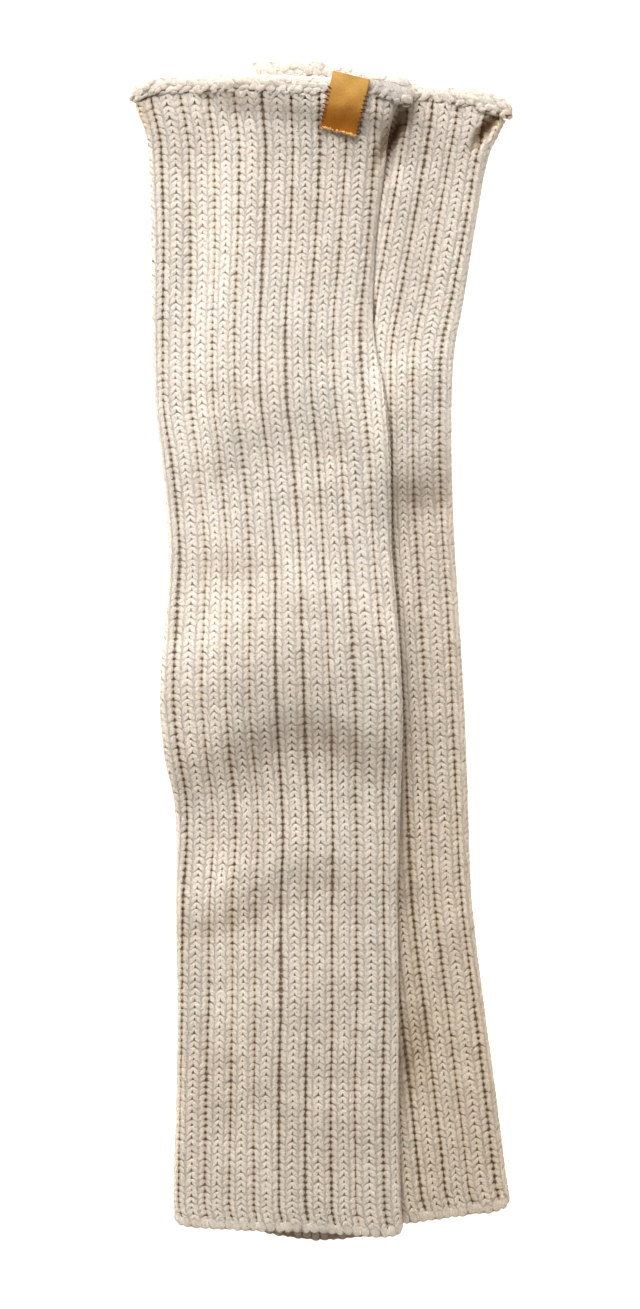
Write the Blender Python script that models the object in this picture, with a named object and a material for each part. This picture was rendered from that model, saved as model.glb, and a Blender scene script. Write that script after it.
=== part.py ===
"""A pair of rib-knit leg warmers laid flat, the left leg lying partly on the right one.

Each leg is one open tube of thick rib knit, pressed flat, with a rolled edge round its mouth. The left leg
carries a small leather label. +Y runs from the hems to the mouths, +X to the right, and the pair rests on
z = 0. Tables and sizes are in millimetres and degrees.
"""

import math
from collections import namedtuple

import bmesh
import bpy
from mathutils import Vector

MM = 0.001

# Cloth
RIBS_ROUND = 18
CREST_WALL = 3.4  # from the plain inside to the top of a rib
GROOVE_WALL = 1.9  # from the plain inside to the bottom of a groove
UNDER_WALL = 2.2  # the panel underneath, pressed flat
SIDE_WALL = 3.0
PANEL_GAP = 0.6  # between the two panels of a leg
FLAT_HEIGHT = UNDER_WALL + PANEL_GAP + CREST_WALL
CREST, GROOVE = 0.0, 0.5  # places across a rib, as shares of its pitch
RIB_STEPS_ABOVE = (CREST, 0.3, GROOVE, 0.7)  # crest, shoulder, groove, shoulder
RIB_STEPS_BELOW = (CREST, GROOVE)
SHOULDER = 0.86  # how high the shoulder of a rib stands, as a share of its crest
RIBS_FADE_FROM, RIBS_FADE_TO = 0.3, -0.7  # down the side edge, where 1 is the top and -1 the underside
BULGE_POWER = 2.5  # how flat the middle of a puffed section is
LONGEST_STRETCH = 34.0  # between two rings of the wall

# Rolled edges
ROLL_LENGTH = 8.6
ROLL_THICK = 4.4
ROLL_HEIGHT = 9.4  # of both rolls of a mouth, one on the other
ROLL_SIDES = 8
ROLL_STEPS_STRAIGHT = 24
ROLL_STEPS_ROUND = 4
SEAM_GAP = 0.45  # between a tube and its roll

# How the left leg lies on the right one
REST_GAP = 0.4
RAMP = 30.0  # over which it climbs from the floor
RAMP_END = 1.0  # how far before the right leg's edge it has reached its full height
FLARE = 6.0  # how far a mouth spreads past its tube
RISE_START, RISE_END = 22.0, 9.0  # before the right leg's mouth, to pass over its rolled edge
TURNS_TO_SETTLE = 4  # of the search for the section below a point
END_FADE = 26.0  # how far into a tube the line of its hem or mouth is felt
MIDDLE_X, MIDDLE_Y = -0.14, 0.55  # the middle of the pair's footprint, in the tables' own places

# Label
LABEL_WIDTH = 19.0
LABEL_LENGTH = 28.5
LABEL_THICK = 1.2
LABEL_GAP = 0.8  # over the ribs and the roll that it is sewn to
LABEL_CENTRE = (11.2, 273.7)
LABEL_TURN = -13.7
LABEL_COLUMNS, LABEL_ROWS = 6, 10
LABEL_BEND_START, LABEL_BEND_END = 10.0, 0.5  # round the line where the roll meets the ribs

# A section of a flat leg: its middle, half its width, the turn of its row of stitches (right end down),
# how far the leg is lifted, how far its upper panel stands off the lower one, the shift of its upper ribs to
# the right and how much narrower they lie than even ones, both counted in ribs.
Section = namedtuple("Section", "y x half tilt lift puff shift narrowing")
# How far a hem or a mouth runs past its section, at a share of the half width.
EndPoint = namedtuple("EndPoint", "across out")
# How far the middle of a roll lies to the right of its mouth's, and half the width of the roll.
RollSpan = namedtuple("RollSpan", "shift half")
# How far the folds across a leg hang below their section, and how much of them is felt, at such a share.
FoldLine = namedtuple("FoldLine", "across sag felt")
# How far the groove at a place round the leg lies from its even place: the upper ribs are not equally wide.
RibLine = namedtuple("RibLine", "rib drift")

LEFT_SECTIONS = (
    Section(-290.8, -16.8, 57.6, 1.5, 0.0, 0.5, -0.19, 0.24),
    Section(-273.0, -17.8, 57.5, 1.0, 0.0, 0.9, -0.15, 0.22),
    Section(-223.0, -17.5, 56.3, 0.5, 0.0, 0.6, -0.19, 0.19),
    Section(-173.0, -17.3, 56.0, 0.0, 0.2, 1.3, -0.16, 0.15),
    Section(-123.0, -18.0, 56.0, 0.0, 0.0, 0.7, -0.05, 0.24),
    Section(-92.0, -17.4, 56.3, -0.5, 0.4, 1.4, 0.09, 0.46),
    Section(-70.0, -17.8, 57.5, -1.5, 0.0, 0.7, 0.18, 0.65),
    Section(-48.0, -19.9, 60.1, -2.0, 0.6, 1.3, 0.25, 0.67),
    Section(-20.0, -21.0, 61.0, -1.0, 4.8, 3.1, 0.19, 0.58),
    Section(27.0, -20.6, 57.9, 0.0, 5.2, 3.3, 0.1, 0.57),
    Section(52.0, -21.1, 56.4, -1.0, 2.4, 2.2, 0.11, 0.61),
    Section(102.0, -23.5, 57.8, -4.0, 0.4, 1.0, 0.06, 0.69),
    Section(127.0, -26.4, 58.1, -4.0, 1.2, 2.0, 0.03, 0.63),
    Section(160.0, -30.0, 56.0, -3.0, 0.9, 1.6, 0.11, 0.36),
    Section(202.0, -29.9, 56.6, 0.0, 0.1, 0.9, 0.17, 0.21),
    Section(253.0, -27.8, 60.3, 1.0, 0.0, 1.4, 0.15, 0.3),
    Section(259.6, -27.9, 61.2, 1.0, 0.0, 1.5, 0.15, 0.36),
    Section(266.0, -28.0, 62.7, 1.0, 0.0, 1.6, 0.16, 0.44),
    Section(272.0, -28.2, 64.4, 1.0, 0.0, 1.65, 0.17, 0.5),
    Section(278.4, -27.8, 66.2, 1.0, 0.0, 1.7, 0.17, 0.6),
)
RIGHT_SECTIONS = (
    Section(-285.2, 38.8, 56.3, -8.5, 0.0, 0.4, 0.26, 0.5),
    Section(-229.9, 31.9, 56.3, -7.0, 0.0, 0.7, 0.34, 0.54),
    Section(-178.9, 25.1, 56.3, -6.0, 0.0, 1.4, 0.43, 0.58),
    Section(-127.4, 19.2, 56.3, -4.5, 0.0, 0.8, 0.47, 0.65),
    Section(-75.9, 17.3, 56.3, -3.0, 0.0, 1.3, 0.46, 0.7),
    Section(-25.9, 15.3, 56.3, -3.0, 0.0, 1.7, 0.44, 0.69),
    Section(24.1, 12.3, 56.3, -3.0, 0.0, 0.9, 0.42, 0.64),
    Section(60.0, 10.2, 56.3, -2.0, 0.0, 0.6, 0.37, 0.61),
    Section(88.0, 9.2, 56.3, -0.5, 2.6, 3.0, 0.34, 0.57),
    Section(104.0, 8.9, 56.3, 0.5, 3.0, 3.2, 0.32, 0.54),
    Section(129.0, 9.0, 56.3, 2.0, 2.4, 3.0, 0.3, 0.52),
    Section(156.9, 10.6, 56.3, 5.0, 0.7, 1.7, 0.26, 0.54),
    Section(184.8, 15.5, 56.3, 8.0, 0.1, 0.9, 0.27, 0.52),
    Section(234.8, 23.5, 56.3, 8.0, 0.0, 0.7, 0.32, 0.49),
    Section(257.8, 27.3, 57.2, 8.5, 0.0, 1.2, 0.33, 0.56),
    Section(269.0, 28.6, 60.4, 9.0, 0.0, 1.5, 0.33, 0.65),
    Section(279.6, 29.4, 63.6, 9.5, 0.0, 1.7, 0.33, 0.75),
)
LEFT_MOUTH = (
    EndPoint(-1.0, -4.8),
    EndPoint(-0.86, -0.9),
    EndPoint(-0.6, 1.3),
    EndPoint(-0.35, 1.2),
    EndPoint(0.0, 0.6),
    EndPoint(0.35, 0.3),
    EndPoint(0.7, 1.9),
    EndPoint(0.86, 0.6),
    EndPoint(0.95, -3.6),
    EndPoint(1.0, -11.0),
)
RIGHT_MOUTH = (
    EndPoint(-1.0, -5.4),
    EndPoint(-0.8, -3.2),
    EndPoint(-0.6, -0.4),
    EndPoint(-0.3, 1.4),
    EndPoint(0.1, -0.4),
    EndPoint(0.4, 0.3),
    EndPoint(0.65, 1.0),
    EndPoint(0.85, 0.9),
    EndPoint(1.0, -3.2),
)
LEFT_HEM = (
    EndPoint(-1.0, -4.4),
    EndPoint(-0.95, -2.7),
    EndPoint(-0.8, -1.9),
    EndPoint(-0.5, -1.3),
    EndPoint(0.1, -2.1),
    EndPoint(0.5, -1.5),
    EndPoint(0.85, -0.5),
    EndPoint(0.96, -2.0),
    EndPoint(1.0, -4.6),
)
RIGHT_HEM = (
    EndPoint(-1.0, -3.0),
    EndPoint(-0.85, 0.0),
    EndPoint(0.1, 1.0),
    EndPoint(0.6, 1.4),
    EndPoint(0.85, 1.8),
    EndPoint(0.95, 0.4),
    EndPoint(1.0, -2.4),
)
LEFT_FOLD_LINE = (
    FoldLine(-1.0, 33.0, 1.0),
    FoldLine(-0.72, 28.0, 1.0),
    FoldLine(-0.3, 11.0, 1.0),
    FoldLine(0.25, 0.0, 1.0),
    FoldLine(0.74, 18.0, 1.0),
    FoldLine(1.0, 24.0, 1.0),
)
RIGHT_FOLD_LINE = (
    FoldLine(-1.0, 0.0, 0.2),
    FoldLine(0.15, 0.0, 0.2),
    FoldLine(0.42, 0.0, 1.0),
    FoldLine(0.96, -14.0, 1.0),
    FoldLine(1.0, -15.0, 1.0),
)
RIB_LINES = (
    RibLine(0.0, 0.0),
    RibLine(0.5, 0.01),
    RibLine(1.5, 0.06),
    RibLine(2.5, 0.0),
    RibLine(3.5, -0.06),
    RibLine(4.5, -0.04),
    RibLine(5.5, 0.0),
    RibLine(6.5, 0.0),
    RibLine(7.5, -0.04),
    RibLine(8.5, 0.07),
    RibLine(9.5, 0.0),
    RibLine(18.0, 0.0),
)
UNDER_HEM_DROP = 4.3  # how far the left leg's lower panel shows past its hem
UNDER_HEM_MIDDLE = 0.22
UNDER_HEM_SPREAD = 0.66

LEFT_ROLL = RollSpan(2.0, 68.4)
RIGHT_ROLL = RollSpan(0.4, 65.0)

Leg = namedtuple("Leg", "sections mouth roll hem fold_line under_hem_drop on_top")
LEFT_LEG = Leg(LEFT_SECTIONS, LEFT_MOUTH, LEFT_ROLL, LEFT_HEM, LEFT_FOLD_LINE, UNDER_HEM_DROP, True)
RIGHT_LEG = Leg(RIGHT_SECTIONS, RIGHT_MOUTH, RIGHT_ROLL, RIGHT_HEM, RIGHT_FOLD_LINE, 0.0, False)


def clear_scene():
    for old in list(bpy.data.objects):
        bpy.data.objects.remove(old, do_unlink=True)


def at(x, y, z):
    """A place of the tables in the pair's own frame, in metres."""
    return Vector((x - MIDDLE_X, y - MIDDLE_Y, z)) * MM


def smoothstep(low, high, value):
    share = min(max((value - low) / (high - low), 0.0), 1.0)
    return share * share * (3 - 2 * share)


def through(rows, place):
    """Every column of the table at a place in its first column, on a smooth curve through its rows."""
    last = len(rows) - 1
    start = 0
    while start < last - 1 and rows[start + 1][0] <= place:
        start += 1
    low, high = rows[start], rows[start + 1]
    before, after = rows[max(start - 1, 0)], rows[min(start + 2, last)]
    span = high[0] - low[0]
    share = min(max((place - low[0]) / span, 0.0), 1.0)
    found = [place]
    for column in range(1, len(low)):
        slope_low = (high[column] - before[column]) / (high[0] - before[0]) * span
        slope_high = (after[column] - low[column]) / (after[0] - low[0]) * span
        rise = high[column] - low[column]
        square = share * share
        cube = square * share
        found.append(
            low[column]
            + rise * (3 * square - 2 * cube)
            + slope_low * (cube - 2 * square + share)
            + slope_high * (cube - square)
        )
    return type(low)(*found)


def bulge(across):
    """How much of a section's puff is felt at a share of its half width."""
    return 1 - min(abs(across), 1.0) ** BULGE_POWER


def section_under(x, y):
    """The right leg's section that passes below a point, and where the point lies on it."""
    place = y
    for _ in range(TURNS_TO_SETTLE):
        section = through(RIGHT_SECTIONS, place)
        place = y + (x - section.x) * math.tan(math.radians(section.tilt))
    section = through(RIGHT_SECTIONS, place)
    return section, (x - section.x) / math.cos(math.radians(section.tilt)), place


def lift_and_puff(sections, fold_line, place, across):
    """How far a leg is lifted off its rest, and puffed, at a place along it and a share of its half width."""
    line = through(fold_line, across)
    section = through(sections, place + line.sag)
    return max(section.lift * line.felt, 0.0), section.puff * line.felt * bulge(across)


def rest_height(x, y):
    """The height of what the left leg lies on: the floor, the ramp, or the top of the right leg."""
    section, across, place = section_under(x, y)
    to_mouth = RIGHT_SECTIONS[-1].y - place
    rise = smoothstep(-RISE_START, -RISE_END, -to_mouth)
    cloth = FLAT_HEIGHT + sum(lift_and_puff(RIGHT_SECTIONS, RIGHT_FOLD_LINE, place, across / section.half))
    full = cloth + (ROLL_HEIGHT - cloth) * rise + REST_GAP
    past_edge = across + section.half + FLARE * rise
    return full * smoothstep(-RAMP, -RAMP_END, past_edge)


def floor_of(leg, x, y):
    return rest_height(x, y) if leg.on_top else 0.0


def flat_loop_point(half, radius, share):
    """A point of a flattened loop, counted from its left end over the top.

    It gives the place across, the height from -1 to 1, and the outward direction across and up.
    """
    straight = 2 * (half - radius)
    quarter = math.pi * radius / 2
    whole = 2 * straight + 4 * quarter
    travel = (share % 1.0) * whole
    facing = 1.0
    if travel > whole / 2:
        travel = whole - travel
        facing = -1.0
    if travel < quarter:
        turn = travel / radius
        centre = radius - half
        out_across, out_up = -math.cos(turn), math.sin(turn)
    elif travel < quarter + straight:
        centre = radius - half + travel - quarter
        out_across, out_up = 0.0, 1.0
    else:
        turn = (travel - quarter - straight) / radius
        centre = half - radius
        out_across, out_up = math.sin(turn), math.cos(turn)
    return centre + radius * out_across, facing * out_up, out_across, facing * out_up


def within(share):
    return min(max(share, -1.0), 1.0)


def end_reach(leg, section, across, facing, inwards):
    """How far the line of the hem or the mouth moves a point along the leg."""
    mouth_share = smoothstep(-END_FADE, 0.0, section.y - leg.sections[-1].y)
    hem_share = smoothstep(-END_FADE, 0.0, leg.sections[0].y - section.y)
    on_hem = within(across / (section.half + inwards))
    on_mouth = within((across - leg.roll.shift) / (leg.roll.half + inwards))
    reach = mouth_share * through(leg.mouth, on_mouth).out - hem_share * through(leg.hem, on_hem).out
    if facing < 0:
        off_middle = min(abs(on_hem - UNDER_HEM_MIDDLE) / UNDER_HEM_SPREAD, 1.0)
        reach -= hem_share * leg.under_hem_drop * math.cos(off_middle * math.pi / 2) ** 2
    return reach


def place_on_leg(leg, section, across, facing, inwards=0.0):
    """The plan position of a point across a section, with its line of hem or mouth read further in."""
    tilt = math.radians(section.tilt)
    x = section.x + across * math.cos(tilt)
    y = section.y - across * math.sin(tilt) + end_reach(leg, section, across, facing, inwards)
    return x, y


def rib_columns(section):
    """The places round a leg that get a column of points, as shares, with each one's step in its rib.

    The upper ribs are shifted and drawn together, except for the crest that stays on each of the side edges.
    """
    columns = []
    half_round = RIBS_ROUND // 2
    for rib in range(RIBS_ROUND):
        plain = half_round < rib < RIBS_ROUND - 1
        for step in RIB_STEPS_BELOW if plain else RIB_STEPS_ABOVE:
            place = rib + step
            off_edge = abs(place - half_round * round(place / half_round))
            move = section.shift - section.narrowing * place / half_round + through(RIB_LINES, place).drift
            upper = place < half_round
            moved = place + move * smoothstep(CREST, GROOVE, off_edge) * upper
            columns.append((moved / RIBS_ROUND, step))
    return columns


def rib_height(step):
    return {CREST: 1.0, GROOVE: 0.0}.get(step, SHOULDER)


def outer_ring(leg, section):
    points = []
    for share, step in rib_columns(section):
        across, side, out_across, out_up = flat_loop_point(section.half, FLAT_HEIGHT / 2, share)
        ribbed = smoothstep(RIBS_FADE_TO, RIBS_FADE_FROM, side)
        depth = (CREST_WALL - GROOVE_WALL) * (1 - rib_height(step)) * ribbed
        x, y = place_on_leg(leg, section, across - out_across * depth, side)
        lift, puff = lift_and_puff(leg.sections, leg.fold_line, section.y, across / section.half)
        z = floor_of(leg, x, y) + lift + (side + 1) / 2 * (FLAT_HEIGHT + puff) - out_up * depth
        points.append(at(x, y, z))
    return points


def inner_ring(leg, section):
    points = []
    for share, _ in rib_columns(section):
        across, side, _, _ = flat_loop_point(section.half - SIDE_WALL, PANEL_GAP / 2, share)
        x, y = place_on_leg(leg, section, across, side)
        lift, puff = lift_and_puff(leg.sections, leg.fold_line, section.y, across / section.half)
        z = floor_of(leg, x, y) + lift + UNDER_WALL + (side + 1) / 2 * (PANEL_GAP + puff)
        points.append(at(x, y, z))
    return points


def ring_places(leg):
    """The table's rows, with more rings where two of them lie far apart."""
    places = []
    for low, high in zip(leg.sections, leg.sections[1:]):
        steps = math.ceil((high.y - low.y) / LONGEST_STRETCH)
        places += [low.y + (high.y - low.y) * step / steps for step in range(steps)]
    return places + [leg.sections[-1].y]


def closed_loft(name, rings):
    """A solid whose rings are joined each to the next and the last to the first."""
    mesh_maker = bmesh.new()
    loops = [[mesh_maker.verts.new(point) for point in ring] for ring in rings]
    count = len(loops[0])
    for ring, following in zip(loops, loops[1:] + loops[:1]):
        for i in range(count):
            j = (i + 1) % count
            mesh_maker.faces.new((ring[i], ring[j], following[j], following[i]))
    return finish_mesh(name, mesh_maker)


def finish_mesh(name, mesh_maker):
    bmesh.ops.recalc_face_normals(mesh_maker, faces=mesh_maker.faces)
    mesh = bpy.data.meshes.new(name)
    mesh_maker.to_mesh(mesh)
    mesh_maker.free()
    mesh.shade_smooth()
    piece = bpy.data.objects.new(name, mesh)
    bpy.context.scene.collection.objects.link(piece)
    return piece


def make_tube(name, leg):
    """The knitted wall: up the outside with its ribs, round the mouth and down the plain inside."""
    sections = [through(leg.sections, place) for place in ring_places(leg)]
    outside = [outer_ring(leg, section) for section in sections]
    inside = [inner_ring(leg, section) for section in reversed(sections)]
    return closed_loft(name, outside + inside)


def roll_stations(half):
    """The path of a roll round a mouth: across, the height from -1 to 1, and the outward direction."""
    radius = (ROLL_HEIGHT - ROLL_THICK) / 2
    straight = half - radius
    stations = []
    for facing, start in ((1, -1), (-1, 1)):
        for step in range(ROLL_STEPS_STRAIGHT + 1):
            across = start * straight * (1 - 2 * step / ROLL_STEPS_STRAIGHT)
            stations.append((across, facing, 0.0, facing))
        for step in range(1, ROLL_STEPS_ROUND):
            turn = math.pi * step / ROLL_STEPS_ROUND
            out_across = -start * math.sin(turn)
            side = facing * math.cos(turn)
            across = -start * straight + radius * out_across
            stations.append((across, side, out_across, side))
    return stations


def make_rolled_edge(name, leg):
    """The roll: an oval cord that runs round the mouth just past the end of the tube."""
    mouth = leg.sections[-1]
    flat = math.cos(math.pi / ROLL_SIDES)
    loops = []
    for across, side, out_across, out_up in roll_stations(leg.roll.half):
        x, y = place_on_leg(leg, mouth, across + leg.roll.shift, side, inwards=ROLL_THICK / 2)
        y += SEAM_GAP + ROLL_LENGTH / 2
        base = floor_of(leg, x, y)
        z = base + ROLL_HEIGHT / 2 + side * (ROLL_HEIGHT - ROLL_THICK) / 2
        loop = []
        for corner in range(ROLL_SIDES):
            turn = 2 * math.pi * (corner + 0.5) / ROLL_SIDES
            out = math.cos(turn) / flat * ROLL_THICK / 2
            along = math.sin(turn) / flat * ROLL_LENGTH / 2
            loop.append(at(x + out_across * out, y + along, z + out_up * out))
        loops.append(loop)
    return closed_loft(name, loops)


def label_height(x, y):
    """The surface that the label lies on: the ribs, then the top of the roll."""
    mouth = LEFT_SECTIONS[-1]
    section = through(LEFT_SECTIONS, y)
    across = (x - section.x) / section.half
    seam = mouth.y + through(LEFT_MOUTH, within((x - mouth.x - LEFT_ROLL.shift) / LEFT_ROLL.half)).out
    ribs = FLAT_HEIGHT + sum(lift_and_puff(LEFT_SECTIONS, LEFT_FOLD_LINE, y, across))
    over_roll = smoothstep(seam - LABEL_BEND_START, seam - LABEL_BEND_END, y)
    cloth = ribs + (ROLL_HEIGHT - ribs) * over_roll
    return rest_height(x, min(y, mouth.y)) + cloth + LABEL_GAP


def make_label():
    """The label: a leather rectangle bent over the roll, with its thickness on the outer side."""
    mesh_maker = bmesh.new()
    bmesh.ops.create_grid(mesh_maker, x_segments=LABEL_COLUMNS, y_segments=LABEL_ROWS, size=0.5)
    turn = math.radians(LABEL_TURN)
    for corner in mesh_maker.verts:
        across = corner.co.x * LABEL_WIDTH
        along = corner.co.y * LABEL_LENGTH
        x = LABEL_CENTRE[0] + across * math.cos(turn) - along * math.sin(turn)
        y = LABEL_CENTRE[1] + across * math.sin(turn) + along * math.cos(turn)
        corner.co = at(x, y, label_height(x, y))
    under = mesh_maker.faces[:]
    above = bmesh.ops.extrude_face_region(mesh_maker, geom=under)["geom"]
    for corner in above:
        if isinstance(corner, bmesh.types.BMVert):
            corner.co.z += LABEL_THICK * MM
    return finish_mesh("leather_label", mesh_maker)


def give_material(piece, name, colour, roughness):
    material = bpy.data.materials.new(name)
    material.use_nodes = True
    surface = material.node_tree.nodes["Principled BSDF"]
    surface.inputs["Base Color"].default_value = (*colour, 1.0)
    surface.inputs["Roughness"].default_value = roughness
    surface.inputs["Metallic"].default_value = 0.0
    piece.data.materials.append(material)


def build_pair():
    oatmeal = (0.62, 0.55, 0.46)
    shaded_oatmeal = (0.58, 0.50, 0.40)
    tan = (0.45, 0.22, 0.05)
    give_material(make_tube("left_leg_tube", LEFT_LEG), "left rib knit", oatmeal, 0.9)
    give_material(make_rolled_edge("left_rolled_edge", LEFT_LEG), "left rolled knit", oatmeal, 0.9)
    give_material(make_tube("right_leg_tube", RIGHT_LEG), "right rib knit", shaded_oatmeal, 0.9)
    give_material(make_rolled_edge("right_rolled_edge", RIGHT_LEG), "right rolled knit", shaded_oatmeal, 0.9)
    give_material(make_label(), "label leather", tan, 0.5)


clear_scene()
build_pair()
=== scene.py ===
"""The looks of a pair of rib-knit leg warmers laid flat, the left leg lying partly on the right one.

Each leg is a knitted tube with the form of its solid: a thin closed shell, with every stitch laid on it as
two arms of yarn. Its mouth ends in a roll of plain knitting and its hem in a row of cast-on loops. A small
leather label is sewn over the left roll. Sizes are in millimetres and degrees until a mesh is made.
"""

import math
from collections import namedtuple

import bmesh
import bpy
import numpy as np
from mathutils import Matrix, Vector


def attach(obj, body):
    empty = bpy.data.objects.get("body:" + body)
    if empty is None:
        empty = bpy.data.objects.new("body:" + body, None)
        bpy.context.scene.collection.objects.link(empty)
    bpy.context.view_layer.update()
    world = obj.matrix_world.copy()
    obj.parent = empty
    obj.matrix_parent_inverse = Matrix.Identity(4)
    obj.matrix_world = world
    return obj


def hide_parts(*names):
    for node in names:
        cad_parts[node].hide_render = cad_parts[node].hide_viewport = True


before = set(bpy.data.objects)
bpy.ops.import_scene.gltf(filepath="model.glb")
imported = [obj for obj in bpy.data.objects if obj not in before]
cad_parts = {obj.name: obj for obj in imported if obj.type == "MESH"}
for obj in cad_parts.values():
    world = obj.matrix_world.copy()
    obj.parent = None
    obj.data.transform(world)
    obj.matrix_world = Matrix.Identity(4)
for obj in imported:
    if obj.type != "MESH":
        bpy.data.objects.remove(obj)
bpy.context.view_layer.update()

MM = 0.001
BODY = "root"

# Cloth, as in the solids
RIBS_ROUND = 18
HALF_ROUND = RIBS_ROUND // 2
CREST_WALL = 3.4
UNDER_WALL = 2.2
SIDE_WALL = 3.0
PANEL_GAP = 0.6
FLAT_HEIGHT = UNDER_WALL + PANEL_GAP + CREST_WALL
GROOVE = 0.5
RIBS_FADE_FROM, RIBS_FADE_TO = 0.3, -0.7
BULGE_POWER = 2.5
END_FADE = 26.0
MIDDLE_X, MIDDLE_Y = -0.14, 0.55

# Rolled edges, as in the solids
ROLL_LENGTH = 8.6
ROLL_THICK = 4.4
ROLL_HEIGHT = 9.4
SEAM_GAP = 0.45

# How the left leg lies on the right one, as in the solids
REST_GAP = 0.4
RAMP, RAMP_END = 30.0, 1.0
FLARE = 6.0
RISE_START, RISE_END = 22.0, 9.0
TURNS_TO_SETTLE = 4

# Stitches: each rib is two wales of V stitches, whose inner arms meet in a row of peaks along its middle
ROW_PITCH = 3.3
RIB_PITCH = 12.55
FIRST_ROW, LAST_ROW = 1.2, 0.4  # from the hem and from the mouth, in rows
WALE_OFFSET = 0.247  # from a rib's middle to that of each of its wales, in ribs
INNER_REACH, OUTER_REACH = 0.298, 0.231  # from a wale's middle to the top of an arm, in ribs
INNER_ROWS, OUTER_ROWS = 1.1, 0.95  # how far an arm climbs
TUCK_ROWS = 0.2  # how far its foot is tucked under the stitch below
YARN_WIDE, YARN_THICK = 3.1, 0.9
YARN_THICK_UNDER = 1.15
YARN_DEPTH, YARN_DEPTH_UNDER = 0.48, 0.5  # of a yarn's middle, below the crests
INNER_RISE, FOOT_SINK, TOP_SINK = 0.03, 0.42, 0.2  # of an arm, off its even height
ARM_BOW = 0.04  # how far an arm bows outwards in its middle
NOTCH, NOTCHED = 0.88, (0.3, 0.75)  # how much narrower an inner arm is at the hole below its top, and where
FOOT_NARROWING, FOOT_NARROWED = 0.26, (0.4, 0.05)
SIZE_SPREAD, REACH_SPREAD, PLACE_SPREAD, HEIGHT_SPREAD = 0.07, 0.03, 0.035, 0.05  # from stitch to stitch
RIB_WANDER, HEM_WANDER, OPENING_WANDER = 0.03, 0.16, 0.4
HEM_WANDER_ROWS = 4.5
SHELL_DEPTH, SHELL_DEPTH_UNDER = 0.65, 0.85
PEAK_SHELL_DEPTH, PEAK_SPAN = 1.55, 0.13  # along a rib's middle, where the holes under the peaks are
GROOVE_DEPTH, GROOVE_SLOPE = 1.15, (0.36, 0.53)  # of the groove between two ribs, below the crests
GROOVE_SHELL_DEPTH, GROOVE_SHELL_SLOPE = 2.4, (0.26, 0.5)
CREST_ROUNDING, CREST_SPAN = 0.22, 0.4
INSIDE_DEPTH, HEM_INSIDE_DEPTH, HEM_INSIDE_ROWS = 3.2, 2.0, (0.6, 2.4)  # which the cloth's inside counts as
GROOVE_OPENS = 0.022  # by which the arms beside an open groove fall short, in ribs
BAR_LONG, BAR_WIDE, BAR_THICK, BAR_DEPTH = 2.6, 1.7, 1.2, 2.2  # of yarn in a groove
BAR_ROW = 0.4
BAR_SIZE_SPREAD, BAR_PLACE_SPREAD, BAR_HEIGHT_SPREAD = 0.12, 0.08, 0.12
HEM_LOOP_WIDE, HEM_LOOP_LONG, HEM_LOOP_ROW = 5.6, 6.0, 0.95
HEM_LOOP_THICK, HEM_LOOP_THICK_UNDER = 1.9, 2.5
HEM_LOOP_DEPTH, HEM_LOOP_DEPTH_UNDER = 1.1, 1.3
HEM_SIZE_SPREAD, HEM_PLACE_SPREAD = 0.1, 0.06
HEM_LOOPS_A_RIB = 3
HEM_LOOP_PALER = 0.5  # how much less deep the upper loops count
BEHIND_HEM = 1.25  # how deep the lower panel's edge counts, for painted shade where it shows past the upper one
PLUMPNESS = 0.95  # how blunt the ends of an arm are, from 1 for an egg down to 0 for a rod
POLE = 0.01  # the radius below which a bead's corner is one of its two ends

# Grid that the stitches are laid on
GRID_COLUMNS = 216
ROWS_A_STITCH = 2
SHELL_COLUMNS, SHELL_START = 8, 0.25  # a rib, and the first ring's row

# Shading
HOLE_IN_SHADE, GROOVE_IN_SHADE = 0.65, 0.3  # how much deeper the body counts where little light gets
HOLE_SHADED, GROOVE_SHADED = (PEAK_SPAN, 0.03), (0.36, 0.5)
HOLLOW_IN_SHADE = 1.2  # how much deeper the cloth counts in a hollow, for each mm
NAP, HEM_NAP, ROLL_NAP, ROLL_BAR_NAP = 0.82, 0.6, 0.6, 0.52  # how far a piece's shading is that of its cloth
STRAND, STRAND_TINT, STITCH_TINT = 3.0, 0.55, 0.45  # stitches to a change of tint, and how much each counts
OFF_FLOOR = 0.02

# Rolls
ROLL_STATIONS, ROLL_SIDES = 300, 24
ROLL_WALES = 60
ROLL_ROUND = 270.0  # about the length of a roll round its mouth
ROLL_GIRTH = 21.0
ROLL_NAP_UP = 5.0
ROLL_FLATNESS = 0.5  # on the side of the ribs, where a roll is flat on top and steep at its edge
ROLL_LUMPS, ROLL_DENTS = 0.42, 0.28
ROLL_CALM, CALM_FLAP, CALM_OUT = 0.75, 0.5, -0.1  # how smooth a roll is where it lies wide
LUMP_GRID, DENT_GRID = (58, 5), (130, 11)
ROLL_BODY_OUT = -0.3
ROLL_DEPTH, ROLL_FOOT_DEPTH, ROLL_FOOT = 0.3, 2.1, (-0.5, -0.85)  # deeper on the side of the ribs, for painted shade there
ROLL_BAR_DEPTH = 0.2
SLANT_SPREAD, BAR_SPREAD, WALE_SPREAD, TURN_SPREAD, OUT_SPREAD = 0.5, 0.14, 0.14, 4.0, 0.07

SEED = 7

Section = namedtuple("Section", "y x half tilt lift puff shift narrowing")
RibLine = namedtuple("RibLine", "rib drift opening")
EndPoint = namedtuple("EndPoint", "across out")
FoldLine = namedtuple("FoldLine", "across sag felt")
Fold = namedtuple("Fold", "x y length width turn height")
RollSwell = namedtuple("RollSwell", "share swell flap crown")
RollRow = namedtuple("RollRow", "turn long wide thick slant out")
RollSpan = namedtuple("RollSpan", "shift half")
Roll = namedtuple("Roll", "leg lumps dents")
Leg = namedtuple("Leg", "name sections mouth roll hem fold_line under_hem_drop on_top folds swell")
Cloth = namedtuple("Cloth", "points normals sides hollows turns rows")
Bead = namedtuple("Bead", "wide thick long faces")


def table(kind, *rows):
    """Rows of numbers with named columns."""
    return tuple(kind(*row) for row in rows)


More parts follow.
